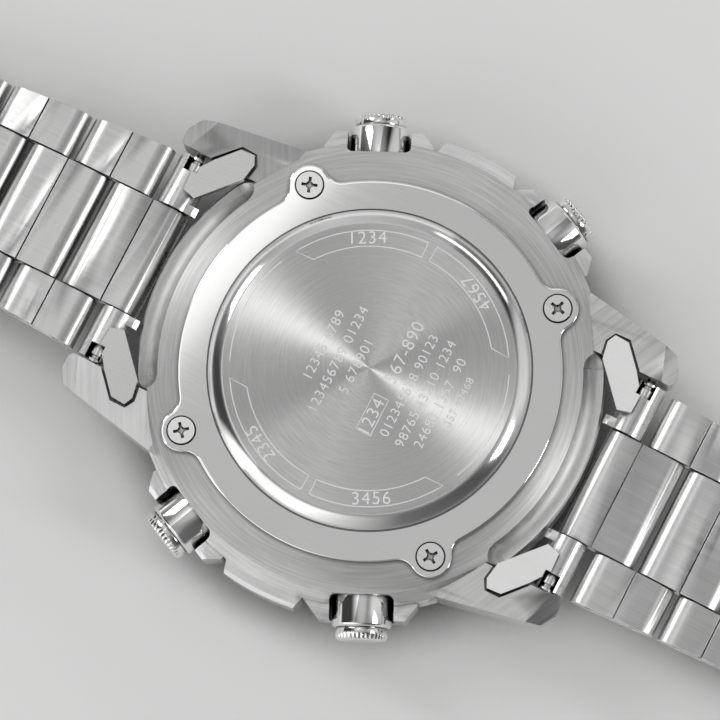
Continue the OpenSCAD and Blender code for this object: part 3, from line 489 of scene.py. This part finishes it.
# %% Tree for a section with a length
def node_tree(name, **inputs):
    tree = bpy.data.node_groups.new(name, "GeometryNodeTree")
    tree.interface.new_socket("Geometry", in_out="INPUT", socket_type="NodeSocketGeometry")
    for label, value in inputs.items():
        kind = {"Finish": "NodeSocketMaterial", "Digits": "NodeSocketString"}.get(label, "NodeSocketFloat")
        made = tree.interface.new_socket(label, in_out="INPUT", socket_type=kind)
        if value is not None:
            made.default_value = value
    tree.interface.new_socket("Geometry", in_out="OUTPUT", socket_type="NodeSocketGeometry")
    return tree, tree.nodes.new("NodeGroupInput").outputs, tree.nodes.new("NodeGroupOutput").inputs


def grown(name, tree, values, *modifiers, source=None):
    """Runs a tree on a mesh, with the named inputs set, and gives back a plain mesh."""
    keeper = linked(name, source or bpy.data.meshes.new(name))
    modifier = keeper.modifiers.new("grow", "NODES")
    modifier.node_group = tree
    for item in tree.interface.items_tree:
        if item.in_out == "INPUT" and item.name in values:
            modifier[item.identifier] = values[item.name]
    return applied(keeper, *modifiers)


def joined(tree, *parts):
    whole = add(tree, "GeometryNodeJoinGeometry")
    for part in parts:
        tree.links.new(part, whole.inputs[0])
    return whole.outputs[0]


def finished(tree, geometry, given, out):
    """Ends a tree: real geometry with its material."""
    real = out_of(tree, "GeometryNodeRealizeInstances", {0: geometry})
    dressed = out_of(tree, "GeometryNodeSetMaterial", {"Geometry": real, "Material": given["Finish"]})
    feed(tree, out, {0: dressed})
    return tree


def pushed_up(tree, flat, height):
    return out_of(tree, "GeometryNodeExtrudeMesh",
                  {"Mesh": flat, "Offset": (0, 0, 1), "Offset Scale": height, "Individual": False})


def moved(tree, shape, offset=(0, 0, 0), turn=(0, 0, 0), scale=(1, 1, 1)):
    values = {"Geometry": shape, "Translation": offset, "Rotation": turn, "Scale": scale}
    return out_of(tree, "GeometryNodeTransform", values)


def section_tree():
    tree, given, out = node_tree("section_with_length", Low=0.0, High=1.0, Start=0.0, End=1.0, Far=1.0,
                                 Twin=0.0, Finish=None)
    curve = out_of(tree, "GeometryNodeMeshToCurve", {"Mesh": given["Geometry"]})
    filled = out_of(tree, "GeometryNodeFillCurve", {"Curve": curve}, mode="TRIANGLES")
    under = out_of(tree, "GeometryNodeFlipFaces", {"Mesh": filled})
    shell = joined(tree, pushed_up(tree, filled, 1.0), under)
    closed = out_of(tree, "GeometryNodeMergeByDistance", {"Geometry": shell, "Distance": 0.001 * MM})
    at = add(tree, "ShaderNodeSeparateXYZ", {0: out_of(tree, "GeometryNodeInputPosition")}).outputs
    edge = carried(tree, at[0], given["Start"], given["End"], given["High"], given["Far"])
    reach = maths(tree, "SUBTRACT", edge, given["Low"])
    across = maths(tree, "MULTIPLY_ADD", at[2], reach, given["Low"])
    laid = vector(tree, across, at[0], at[1])
    placed = out_of(tree, "GeometryNodeSetPosition", {"Geometry": closed, "Position": laid})
    twin = out_of(tree, "GeometryNodeFlipFaces", {"Mesh": moved(tree, placed, scale=(-1, 1, 1))})
    wanted = maths(tree, "GREATER_THAN", given["Twin"], 0.5)
    chosen = out_of(tree, "GeometryNodeSwitch", {"Switch": wanted, "True": twin}, input_type="GEOMETRY")
    smooth = out_of(tree, "GeometryNodeSetShadeSmooth", {"Geometry": joined(tree, placed, chosen)})
    return finished(tree, smooth, given, out)


SECTION = section_tree()


def lines_mesh(lines, height=0.0, closed=True):
    """Lines in mm, as loose edges."""
    points, edges = [], []
    for line in lines:
        first = len(points)
        points += [(u * MM, v * MM, height * MM) for u, v in line]
        edges += [(first + i, first + (i + 1) % len(line)) for i in range(len(line) - 1 + closed)]
    mesh = bpy.data.meshes.new("lines")
    mesh.from_pydata(points, edges, [])
    return mesh


def arc(centre, size, first, last, steps):
    """Points on an ellipse, angles in degrees."""
    turns = [math.radians(first + (last - first) * i / steps) for i in range(steps + 1)]
    return [(centre[0] + size[0] * math.cos(a), centre[1] + size[1] * math.sin(a)) for a in turns]


def round_arc(x, radius, first=0, last=351, steps=39):
    """Points on a circle. Without angles it goes all the way round."""
    return arc((x, 0), (radius, radius), first, last, steps)


# %% [markdown]
# The outline of a folded link starts at the seam and goes round the far end, back underneath,
# round the near end and up to the seam again. Then it dips into the fold and follows the inside,
# with a bulge round each pin. The ends are flattened curves rather than half circles, because
# that is how a strip bends over a mandrel, and the top has a slight crown. The first link of each
# side ends in a roll round the spring bar instead of a fold.

# %% Outline of a folded link
HALF_PITCH, LINK_T, OVER, SEAM, FOLD, PIN_HOLE = 4.4, 2.9, 1.975, 0.12, 0.5, 0.64
END_LONG, END_HIGH, CROWN, PIN_R = 1.75, 1.22, 0.07, 0.6


def folded_outline(seam=HALF_PITCH / 2, near_hole=PIN_HOLE, far_hole=PIN_HOLE, rolled=False):
    top, left, right = LINK_T / 2, -OVER, HALF_PITCH + OVER
    size = (END_LONG, END_HIGH)
    upper, lower = top - CROWN - END_HIGH, END_HIGH + 0.02 - top
    far = [(seam + SEAM / 2, top)] + ([] if rolled else [(seam + 1.1, top - 0.02)])
    far += arc((right - END_LONG, upper), size, 90, 0, 10) + arc((right - END_LONG, lower), size, 0, -90, 10)
    if rolled:
        near = [(0.0, 1.35)] + round_arc(0, 1.35, 100, 260, 20) + [(0.0, -1.35), (seam - 0.1, -1.35)]
        bottom = [(right - END_LONG, -top), (seam + 0.5, -top), (seam, -top), (seam - 0.02, -1.4)]
        back = near[::-1] + [(seam - SEAM / 2, 1.35)]
    else:
        bottom = [(right - END_LONG, -top + 0.02), (HALF_PITCH / 2, -top), (left + END_LONG, -top + 0.02)]
        back = arc((left + END_LONG, lower), size, 270, 180, 10)
        back += arc((left + END_LONG, upper), size, 180, 90, 10)
        back += [(seam - 1.1, top - 0.02), (seam - SEAM / 2, top)]
    lean = math.degrees(math.asin(FOLD / near_hole))
    inside = [(seam - SEAM / 2, FOLD)] + round_arc(0, near_hole, lean, 360 - lean, 16)
    lean = math.degrees(math.asin(FOLD / far_hole))
    inside += round_arc(HALF_PITCH, far_hole, 180 + lean, 540 - lean, 16)
    return far + bottom + back + inside + [(seam + SEAM / 2, FOLD)]


def rod(work, radius, length, place, sides):
    bmesh.ops.create_cone(work, cap_ends=True, segments=sides, radius1=radius * MM, radius2=radius * MM,
                          depth=length * MM, matrix=place)


def pins(half, *places):
    work = bmesh.new()
    for y in places:
        turn = Matrix.Translation((0, y * MM, 0)) @ Matrix.Rotation(math.pi / 2, 4, "Y")
        rod(work, PIN_R, 2 * half, turn, 28)
    return kept(work, "pins", smooth=True)


# %% Links
ROLL_SEAM, BAR_HOLE, CLASP_HOLE, CENTRE_HALF, GAP = 1.8, 0.84, 0.79, 5.35, 0.15
PIVOTS = {joint["name"]: Vector(joint["pos_m"]) for joint in frame["joints"] if "pos_m" in joint}
PIVOTS["bend_12_9"] = PIVOTS["clasp_cover_hinge"]
PIVOTS["bend_6_11"] = 2 * PIVOTS["bend_6_10"] - PIVOTS["bend_6_9"]


def section(name, values, finish, *outlines, twin=0.0):
    """Outlines in mm, pushed out by the section tree, with their edges rounded."""
    given = {key: value * MM for key, value in values.items()}
    given.update({"Twin": twin, "Finish": finish})
    return grown(name, SECTION, given, rounding(0.05), source=lines_mesh(outlines))


def half_width(k):
    return 10.55 - 1.5 * min(k, 3) / 3


def link_place(side, i):
    """Matrix that carries a link, drawn from its near pin along +Y, to its place."""
    here, after = (PIVOTS["bend_%s_%d" % (side, k)] for k in (i + 1, i + 2))
    step = after - here
    angle = math.atan2(step.z, abs(step.y))
    flip = Matrix.Scale(-1, 4, (0, 1, 0)) if side == "6" else Matrix.Identity(4)
    return Matrix.Translation(here) @ flip @ Matrix.Rotation(angle, 4, "X")


def put(mesh, matrix, *extra):
    """Joins extra parts to a mesh, carries it to its place and turns its faces outwards."""
    work = bmesh.new()
    for part in (mesh, *extra):
        work.from_mesh(part)
    work.transform(matrix)
    if matrix.determinant() < 0:
        bmesh.ops.reverse_faces(work, faces=work.faces)
    result = kept(work, "link")
    result.set_sharp_from_angle(angle=math.radians(30))
    for material in mesh.materials:
        result.materials.append(material)
    return result


for side, count in (("12", 8), ("6", 10)):
    for i in range(count):
        kind = ("centre", "outer")[i % 2]
        node = "%s_%s_%d" % (kind, side, i // 2 + 1)
        # Each side's links take their side's copy: painted shade at 12, painted light at 6.
        finish = finishes[kind + "_link_steel_" + side]
        last = i == count - 1
        outline = folded_outline(far_hole=CLASP_HOLE if last else PIN_HOLE,
                                 **(dict(seam=ROLL_SEAM, near_hole=BAR_HOLE, rolled=True) if i == 0 else {}))
        centre = {"Low": -CENTRE_HALF, "High": CENTRE_HALF, "Far": CENTRE_HALF}
        extra = []
        if kind == "centre":
            values = centre
            places = (0.0, HALF_PITCH) if i else (HALF_PITCH,)
            extra = [pins(half_width(i / 2) - 0.25, *places)]
        else:
            k = (i - 1) / 2
            values = {"Low": CENTRE_HALF + GAP, "High": half_width(k), "Far": half_width(k + 1)}
        values = dict(values, Start=-OVER, End=HALF_PITCH + OVER)
        mesh = section(node, values, finish, outline, twin=float(kind == "outer"))
        if last and side == "12":
            knuckle = arc((HALF_PITCH, 0), (OVER, LINK_T / 2), 0, 351, 39)
            extra = [section("bridge", centre, finish, knuckle, round_arc(HALF_PITCH, CLASP_HOLE))]
        mesh = put(mesh, link_place(side, i), *extra)
        piece("folded_" + node, mesh, node, kind + "_link_steel", node)

# %% [markdown]
# The case is one piece of steel with several finishes. Its ring and the tabs beside the pushers
# were turned, so their grain runs in circles, and the tabs get a paler tone, a painted highlight.
# The lugs were ground straight. One lug at the 12 end gets a near-white tone, a painted highlight,
# and the two at the 6 end a darker one, painted shade, with their grain at the mirrored angle. The
# channel is rougher, and its darker tone is partly painted shade. Each face of the case is given
# its finish by where it lies. The arms of the end pieces get a darker tone at the 12 end, painted
# shade, and a near-white one at the 6 end, a painted highlight.

# %% The case, the end pieces and the clasp
RING, LUG, CHANNEL, TAB, PAINTED_HIGHLIGHT_LUG, PAINTED_SHADE_LUG = range(6)
FLANGE_R, CHANNEL_IN, CHANNEL_FROM, RING_TOP = 22.05 * MM, 19.7 * MM, 17 * MM, 10.9 * MM
TAB_HALF, ARM_AREA = 13 * MM, 6 * MM ** 2
case = softened("case_middle", "case", 0.12, "case_steel")
for finish in ("lug_steel", "channel_steel_with_painted_shade", "painted_highlight_tab_steel", "painted_highlight_lug_steel", "painted_shade_mirror_lug_steel"):
    case.data.materials.append(finishes[finish])
for face in case.data.polygons:
    distances = [case.data.vertices[v].co.xy.length for v in face.vertices]
    reach, middle, up = max(distances), face.center, face.normal.z
    face.material_index = RING
    if reach > FLANGE_R:
        face.material_index = LUG
        # Painted highlight: the tab tops get the paler tab steel.
        if abs(middle.y) < TAB_HALF and up > 0.4:
            face.material_index = TAB
        # Painted highlight on one lug at the 12 end, painted shade on the two lugs at the 6 end.
        elif middle.x < 0 and middle.y > TAB_HALF and up > 0.05:
            face.material_index = PAINTED_HIGHLIGHT_LUG
        elif middle.y < -TAB_HALF and up > 0.8:
            face.material_index = PAINTED_SHADE_LUG
    # The channel faces get the channel steel, whose darker tone is partly painted shade.
    beside_flange = reach < FLANGE_R + 0.5 * MM and min(distances) > CHANNEL_IN and middle.z < RING_TOP
    if beside_flange and abs(middle.y) > CHANNEL_FROM and up > 0.05:
        face.material_index = CHANNEL
for end in ("12", "6"):
    end_piece = softened("end_piece_" + end, "case", 0.16, "end_piece_steel")
    # The arm tops take the arm steel of their end: painted shade at 12, a painted highlight at 6.
    end_piece.data.materials.append(finishes["arm_steel_" + end])
    arms = [face for face in end_piece.data.polygons if face.area > ARM_AREA and face.normal.z > 0.9]
    for face in arms:
        face.material_index = 1
    print("end piece", end, "arm faces", len(arms))
for leaf in ("clasp_cover", "clasp_middle_leaf", "clasp_inner_leaf"):
    softened(leaf, leaf, 0.08, "clasp_steel")
softened("bezel", "case", 0.1, "bezel_steel")
print("case faces", len(case.data.polygons))

# %% [markdown]
# The cover is pressed from sheet: a flat polished rim with four ears, a rolled shoulder, and a
# raised disc that is brushed while it spins. It is made of rings of points, from the outline
# inwards. The first rings follow the outline with its ears, and the rest are circles, down the
# inner side as well, so the mesh is closed. Cylinders are then taken out for the screws.

# %% Outline of the cover
COVER_R, EAR_R, FILLET_R, SCREW_CIRCLE = 17.9, 1.95, 1.6, 18.35
EARS = (45, 135, 225, 315)


def ray(angle):
    """The direction at an angle in radians."""
    return Vector((math.cos(angle), math.sin(angle)))


def cover_outline():
    """Points round the cover, in mm."""
    reach, near = COVER_R + FILLET_R, EAR_R + FILLET_R
    middle = reach * ray(math.acos((SCREW_CIRCLE ** 2 + reach ** 2 - near ** 2) / (2 * SCREW_CIRCLE * reach)))
    first = math.atan2(-middle.y, -middle.x)
    last = math.atan2(-middle.y, SCREW_CIRCLE - middle.x)
    fillet = [middle + FILLET_R * ray(first + (last - first) * i / 8) for i in range(9)]
    start = math.atan2(fillet[-1].y, fillet[-1].x - SCREW_CIRCLE)
    ear = [Vector((SCREW_CIRCLE, 0)) + EAR_R * ray(start - 2 * start * i / 24) for i in range(1, 24)]
    one_ear = [Vector((p.x, -p.y)) for p in fillet + ear] + fillet[::-1]
    begin = math.atan2(fillet[0].y, fillet[0].x)
    span = math.pi / 2 - 2 * begin
    points = []
    for ear_angle in EARS:
        turn = math.radians(ear_angle)
        points += [Matrix.Rotation(turn, 2) @ p for p in one_ear]
        points += [COVER_R * ray(turn + begin + span * i / 40) for i in range(1, 40)]
    return points


outline = cover_outline()
print("outline points", len(outline), "reach", round(max(p.length for p in outline), 2))

# %% Cover
BACK_Z, RIM_Z, DISC_Z = 10.2, 11.05, 12.0
DISC_R, FOOT_R, ROUND_R = 13.75, 15.05, 13.5


def shoulder(steps=12):
    """The rolled shoulder, from its foot inwards: steepest at the foot and level at the disc."""
    width = FOOT_R - 0.04 - ROUND_R
    shares = [1 - i / steps for i in range(steps + 1)]
    return [(ROUND_R + width * share, DISC_Z - 0.87 * share ** 1.8) for share in shares]


def bridge(work, low, high):
    """A band of faces between two rings of points."""
    for i in range(len(low)):
        j = (i + 1) % len(low)
        work.faces.new((low[i], low[j], high[j], high[i]))


def inset(points, amount):
    """The outline, moved inwards by an amount in mm."""
    moved = []
    for before, here, after in zip(points[-1:] + points, points, points[1:] + points[:1]):
        step = (after - before).normalized()
        moved.append(here + Vector((-step.y, step.x)) * amount)
    return moved


def cover_mesh():
    angles = [math.atan2(p.y, p.x) for p in outline]
    edge = [(0, BACK_Z), (0, RIM_Z - 0.15), (0.02, RIM_Z - 0.05), (0.06, RIM_Z - 0.012), (0.11, RIM_Z),
            (0.25, RIM_Z)]
    rings = [[(p.x, p.y, z) for p in inset(outline, amount)] for amount, z in edge]
    profile = [(FOOT_R + 0.35, RIM_Z), (FOOT_R + 0.13, RIM_Z), (FOOT_R + 0.11, RIM_Z - 0.02),
               (FOOT_R + 0.09, RIM_Z - 0.14), (FOOT_R - 0.01, RIM_Z - 0.14)]
    profile += shoulder() + [(r, DISC_Z) for r in (13.2, 12.0, 8.0, 4.0, 0.6)]
    inside = [(0.6, 11.3), (13.3, 11.3), (13.3, BACK_Z), (14.25, BACK_Z), (14.25, 9.5), (15.15, 9.5),
              (15.15, BACK_Z)]
    rings += [[(r * math.cos(a), r * math.sin(a), z) for a in angles] for r, z in profile + inside]
    top = len(rings) - len(inside) - 1
    work = bmesh.new()
    made = [[work.verts.new(Vector(p) * MM) for p in ring] for ring in rings]
    for k, (low, high) in enumerate(zip(made, made[1:] + made[:1])):
        if k != top:
            bridge(work, low, high)
    work.faces.new(made[top])
    work.faces.new(made[top + 1][::-1])
    bmesh.ops.recalc_face_normals(work, faces=work.faces)
    return kept(work, "cover", smooth=True)


def screw_holes():
    work = bmesh.new()
    for angle in EARS:
        middle = SCREW_CIRCLE * ray(math.radians(angle))
        for radius, low, high in ((1.4, 10.62, 12.5), (0.9, 9.0, 10.8)):
            place = Matrix.Translation(Vector((*middle, (low + high) / 2)) * MM)
            rod(work, radius, high - low, place, 48)
    return kept(work, "screw_holes")


holes = linked("screw_holes", screw_holes())
cutting = {"operation": "DIFFERENCE", "object": holes, "solver": "EXACT", "use_self": True}
drilled = applied(linked("cover", cover_mesh()), ("BOOLEAN", cutting))
bpy.data.objects.remove(holes)
drilled.set_sharp_from_angle(angle=math.radians(32))
drilled.materials.clear()
for finish in ("cover_steel", "disc_steel", "shoulder_steel", "engraved_steel"):
    drilled.materials.append(finishes[finish])
for face in drilled.polygons:
    reach = max(drilled.vertices[v].co.xy.length for v in face.vertices)
    if face.center.z > RIM_Z * MM and reach < (FOOT_R + 0.05) * MM:
        face.material_index = 1 if reach < DISC_R * MM else 2
print("cover faces", len(drilled.polygons))

# %% [markdown]
# The disc is engraved with two long arcs, four curved windows and rows of figures. The cutter
# leaves a matt line, paler than the brushing. One Geometry Nodes tree turns drawn lines into thin
# threads that stand a hundredth of a millimetre proud, and another sets figures with String to
# Curves and Fill Curve. The figures are plain numbers.

# %% Trees for lines and figures
def swept(tree, curve, width, sides):
    """A round thread along a curve."""
    thread = out_of(tree, "GeometryNodeCurvePrimitiveCircle", {"Resolution": sides, "Radius": width})
    return out_of(tree, "GeometryNodeCurveToMesh",
                  {"Curve": curve, "Profile Curve": thread, "Fill Caps": True})


def lines_tree():
    tree, given, out = node_tree("engraved_lines", Width=0.06 * MM, Finish=None)
    curve = out_of(tree, "GeometryNodeMeshToCurve", {"Mesh": given["Geometry"]})
    return finished(tree, swept(tree, curve, given["Width"], 8), given, out)


def figures_tree():
    tree, given, out = node_tree("engraved_figures", Digits="0", Size=1.2, Right=0.0, Up=0.0, Turn=0.0,
                                 Finish=None)
    set_out = {"String": given["Digits"], "Size": given["Size"], "Character Spacing": 1.12}
    row = out_of(tree, "GeometryNodeStringToCurves", set_out, align_x="CENTER", align_y="MIDDLE")
    curves = out_of(tree, "GeometryNodeRealizeInstances", {0: row})
    raised = pushed_up(tree, out_of(tree, "GeometryNodeFillCurve", {"Curve": curves}, mode="NGONS"), 0.04)
    place = vector(tree, given["Right"], given["Up"], DISC_Z - 0.025)
    placed = moved(tree, raised, place, vector(tree, 0, 0, given["Turn"]))
    return finished(tree, moved(tree, placed, scale=(MM, MM, MM)), given, out)


FIGURES = figures_tree()


def figures(digits, size, right, up, turn=0.0, finish="engraved_steel"):
    """A row of figures, in mm from the middle of the disc."""
    values = {"Digits": digits, "Size": size, "Right": right, "Up": up, "Turn": turn}
    values["Finish"] = finishes[finish]
    return grown("figures", FIGURES, values)


# %% Engraving
WINDOW_IN, WINDOW_OUT, WINDOW_MIDDLE = 11.45, 12.95, 12.2


def window(first, last):
    """A curved window: radial end at `first`, slanted end at `last`, angles in degrees."""
    slant = 5 if last > first else -5
    outer = round_arc(0, WINDOW_OUT, first, last + slant, 24)
    return outer + round_arc(0, WINDOW_IN, last, first, 24) + outer[:1]


lines = [round_arc(0, WINDOW_OUT, first, first + 48, 40) for first in (66, 246)]
lines += [window(first, last) for first, last in ((2, 54), (-2, -54), (178, 126), (182, 234))]
lines.append([(-5.6, -3.0), (-1.9, -3.0), (-1.9, -1.5), (-5.6, -1.5), (-5.6, -3.0)])
ROWS = [("12345 6789", 1.35, 0.0, 4.7), ("123456789 01234", 1.35, -0.6, 2.9), ("5 678901", 1.35, -0.4, 1.1),
        ("1234   567-890", 1.7, 0.0, -2.3), ("012345678 90123", 1.3, 0.2, -4.1),
        ("98765 43210 1234", 1.3, 0.2, -5.8), ("24680 1357  90", 1.3, 0.0, -7.4),
        ("1357 92468", 1.05, 0.6, -8.9)]
line_values = {"Width": 0.08 * MM, "Finish": finishes["engraved_steel"]}
engraved = lines_mesh(lines, DISC_Z - 0.06, closed=False)
marks = [grown("lines", lines_tree(), line_values, source=engraved)] + [figures(*row) for row in ROWS]
for digits, angle, quarter in (("1234", 28, -1), ("2345", 152, -1), ("3456", 208, 1), ("4567", -28, 1)):
    a = math.radians(angle)
    marks.append(figures(digits, 1.7, *(WINDOW_MIDDLE * ray(a)), a + quarter * math.pi / 2))
work = bmesh.new()
work.from_mesh(drilled)
first_mark = len(work.faces)
for mark in marks:
    work.from_mesh(mark)
work.faces.ensure_lookup_table()
for face in work.faces[first_mark:]:
    face.material_index = 3
work.to_mesh(drilled)
work.free()
piece("pressed_cover", drilled, "case", "cover_steel", "case_back")
print("marks", len(marks), "cover faces", len(drilled.polygons))

# %% [markdown]
# The face lies on the table and the photograph doesn't show it. A display that runs shows dark
# figures on its glass, so the same tree sets plain ones, turned over to face down. Twelve printed
# marks stand round the face plate. They are equal, so a tree puts one bar on each point of a ring.

# %% Figures and marks of the face
GLASS_Z, PLATE_Z = 4.5, 4.2
FACE_FIGURES = [("12:34", 5.0, -2.0, -1.5), ("56", 3.0, 7.3, -2.15), ("1 2 3 4 5 6", 2.2, 0.0, 3.4)]


def on_points(tree, shape, points, spin):
    """A copy of a shape on each point, turned about the vertical."""
    return out_of(tree, "GeometryNodeInstanceOnPoints",
                  {"Points": points, "Instance": shape, "Rotation": vector(tree, 0, 0, spin)})


def marks_tree():
    tree, given, out = node_tree("marks", Circle=13.0 * MM, Finish=None)
    bar = out_of(tree, "GeometryNodeMeshCube", {"Size": (1.2 * MM, 0.34 * MM, 0.04 * MM)})
    points = out_of(tree, "GeometryNodeMeshCircle", {"Vertices": 12, "Radius": given["Circle"]})
    spin = maths(tree, "MULTIPLY", out_of(tree, "GeometryNodeInputIndex"), math.pi / 6)
    return finished(tree, on_points(tree, bar, points, spin), given, out)


work = bmesh.new()
for row in FACE_FIGURES:
    work.from_mesh(figures(*row, finish="segment_ink"))
work.transform(Matrix.Translation((0, 0, GLASS_Z * MM)) @ Matrix.Rotation(math.pi, 4, "Y")
               @ Matrix.Translation((0, 0, -DISC_Z * MM)))
shown = kept(work, "shown")
shown.materials.append(finishes["segment_ink"])
piece("display_figures", shown, "case", "display_glass")
printed = grown("marks", marks_tree(), {"Circle": 13.0 * MM, "Finish": finishes["mark_print"]})
printed.transform(Matrix.Translation((0, 0, (PLATE_Z - 0.01) * MM)))
piece("printed_marks", printed, "case", "face_plastic")
print("figures", len(shown.polygons), "marks", len(printed.polygons))

# %% [markdown]
# Each pusher is turned from bar: a stem, a wide inner tier that is hollow for the return spring, a
# narrower outer tier, and a coned end with fine teeth cut round it for grip. A lathe shape is rings
# of points along an axis, and the teeth only change the radius of the end's rings, so the whole
# pusher is one set of rings.

# %% Pushers
PUSHER_Z, PUSHER_OUT, HEAD_R, CROWN_R, STEP_AT = 6.7, 24.9, 2.8, 2.45, 23.7
TEETH, PER_TOOTH = 40, 6
BORE_R = HEAD_R - 0.5
# distance from the watch's centre, radius, depth of the teeth
TURNED = [(14.5, 0.8, 0), (14.85, 0.8, 0), (14.85, 0.55, 0), (15.05, 0.55, 0), (15.05, 0.8, 0),
          (22.5, 0.8, 0), (22.5, BORE_R, 0), (20.1, BORE_R, 0), (20.1, HEAD_R - 0.15, 0), (20.25, HEAD_R, 0),
          (STEP_AT - 0.3, HEAD_R, 0), (STEP_AT - 0.16, HEAD_R - 0.05, 0), (STEP_AT - 0.03, HEAD_R - 0.2, 0),
          (STEP_AT, CROWN_R - 0.06, 0), (STEP_AT + 0.1, CROWN_R - 0.02, 0), (STEP_AT + 0.2, CROWN_R, 0),
          (STEP_AT + 0.58, CROWN_R, 0), (STEP_AT + 0.64, CROWN_R - 0.01, 0.05),
          (STEP_AT + 0.78, CROWN_R - 0.02, 0.07), (PUSHER_OUT - 0.16, CROWN_R - 0.14, 0.07),
          (PUSHER_OUT - 0.05, CROWN_R - 0.27, 0.05), (PUSHER_OUT, CROWN_R - 0.4, 0),
          (PUSHER_OUT, CROWN_R - 1.2, 0)]


def pusher_mesh(angle):
    spin = Matrix.Rotation(math.radians(angle), 3, "Z")
    turns = [2 * math.pi * i / (TEETH * PER_TOOTH) for i in range(TEETH * PER_TOOTH)]
    work = bmesh.new()
    rings = []
    for out, radius, depth in TURNED:
        round_axis = [(radius - depth * abs(math.cos(TEETH * a / 2))) * ray(a) for a in turns]
        rings.append([work.verts.new(spin @ Vector((out, p.x, PUSHER_Z + p.y)) * MM) for p in round_axis])
    for low, high in zip(rings, rings[1:]):
        bridge(work, low, high)
    work.faces.new(rings[0])
    work.faces.new(rings[-1])
    bmesh.ops.recalc_face_normals(work, faces=work.faces)
    mesh = kept(work, "pusher", smooth=True)
    mesh.set_sharp_from_angle(angle=math.radians(38))
    mesh.materials.append(finishes["pusher_steel"])
    return mesh


PUSHERS = (("10", 25), ("8", -25), ("4", 205), ("2", 155))
for hour, angle in PUSHERS:
    piece("turned_pusher_" + hour, pusher_mesh(angle), "pusher_" + hour, "pusher_steel", "pusher_" + hour)

# %% [markdown]
# A coil spring in each pusher pushes it out again. It is wire wound on a mandrel, so a Geometry
# Nodes tree sweeps a small circle along a spiral. Its inner end sits on the floor of the pocket
# in the case.

# %% Return springs
SPRING_IN, SPRING_OUT, WIRE, TRAVEL = 19.0, 22.5, 0.14, 0.9


def coil_tree():
    tree, given, out = node_tree("coil", Radius=1.9 * MM, Length=3.2 * MM, Wire=WIRE * MM, Finish=None)
    spiral = out_of(tree, "GeometryNodeCurveSpiral",
                    {"Resolution": 28, "Rotations": 5.0, "Start Radius": given["Radius"],
                     "End Radius": given["Radius"], "Height": given["Length"]})
    smooth = out_of(tree, "GeometryNodeSetShadeSmooth", {"Geometry": swept(tree, spiral, given["Wire"], 10)})
    return finished(tree, smooth, given, out)


COIL = coil_tree()
coil_values = {"Radius": (HEAD_R - 0.9) * MM, "Length": (SPRING_OUT - SPRING_IN - 2 * WIRE) * MM,
               "Finish": finishes["spring_steel"]}
inner_end = Vector((SPRING_IN + WIRE, 0, PUSHER_Z)) * MM
lying = Matrix.Translation(inner_end) @ Matrix.Rotation(math.pi / 2, 4, "Y")
for hour, angle in PUSHERS:
    a = math.radians(angle)
    spin = Matrix.Rotation(a, 4, "Z")
    wound = grown("coil", COIL, coil_values)
    wound.transform(spin @ lying)
    coil = piece("coil_" + hour, wound, "pusher_" + hour, "spring_steel", "spring_" + hour)
    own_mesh(coil)
print("coils", len(PUSHERS))

# %% [markdown]
# Four equal screws hold the cover, so they are one Geometry Nodes tree. It makes a head, cuts a
# cross out of it, joins the shank, and puts a copy on each of four points on the screw circle.
# Screws never stop at the same angle, so each copy is turned by its own amount. The tree ends in
# Realize Instances and Set Material, and the result is kept as a plain mesh.

# %% Screws
SCREW_Z, SLOT_LONG, SLOT_WIDE, SLOT_DEEP = 10.625, 1.5, 0.28, 0.8


def screws_tree():
    tree, given, out = node_tree("screws", Circle=SCREW_CIRCLE * MM, Head=1.25 * MM, Height=0.6 * MM,
                                 Shank=0.8 * MM, Length=3.4 * MM, Finish=None)
    head = out_of(tree, "GeometryNodeMeshCylinder",
                  {"Vertices": 64, "Radius": given["Head"], "Depth": given["Height"]})
    lift = vector(tree, 0, 0, maths(tree, "MULTIPLY", given["Height"], 0.5))
    cut = add(tree, "GeometryNodeMeshBoolean", {"Mesh 1": moved(tree, head, lift)},
              operation="DIFFERENCE", solver="EXACT")
    blade = out_of(tree, "GeometryNodeMeshCube", {"Size": (SLOT_LONG * MM, SLOT_WIDE * MM, SLOT_DEEP * MM)})
    cone = out_of(tree, "GeometryNodeMeshCone",
                  {"Vertices": 24, "Radius Top": 0.42 * MM, "Radius Bottom": 0.12 * MM, "Depth": 0.6 * MM})
    deep = (0, 0, 0.56 * MM)
    crossing = moved(tree, blade, deep, (0, 0, math.pi / 2))
    for tool in (moved(tree, blade, deep), crossing, moved(tree, cone, (0, 0, 0.15 * MM))):
        tree.links.new(tool, cut.inputs["Mesh 2"])
    bar = out_of(tree, "GeometryNodeMeshCylinder",
                 {"Vertices": 32, "Radius": given["Shank"], "Depth": given["Length"]})
    drop = vector(tree, 0, 0, maths(tree, "MULTIPLY", given["Length"], -0.5))
    screw = joined(tree, cut.outputs["Mesh"], moved(tree, bar, drop))
    corners = out_of(tree, "GeometryNodeMeshCircle", {"Vertices": 4, "Radius": given["Circle"]})
    placed = moved(tree, corners, (0, 0, SCREW_Z * MM), (0, 0, math.pi / 4))
    spin = maths(tree, "MULTIPLY_ADD", out_of(tree, "GeometryNodeInputIndex"), 1.9, 0.35)
    return finished(tree, on_points(tree, screw, placed, spin), given, out)


screws = grown("cross_screws", screws_tree(), {"Finish": finishes["screw_steel"]}, rounding(0.05, 35))
piece("cross_screws", screws, "case", "screw_steel", "back_screws")
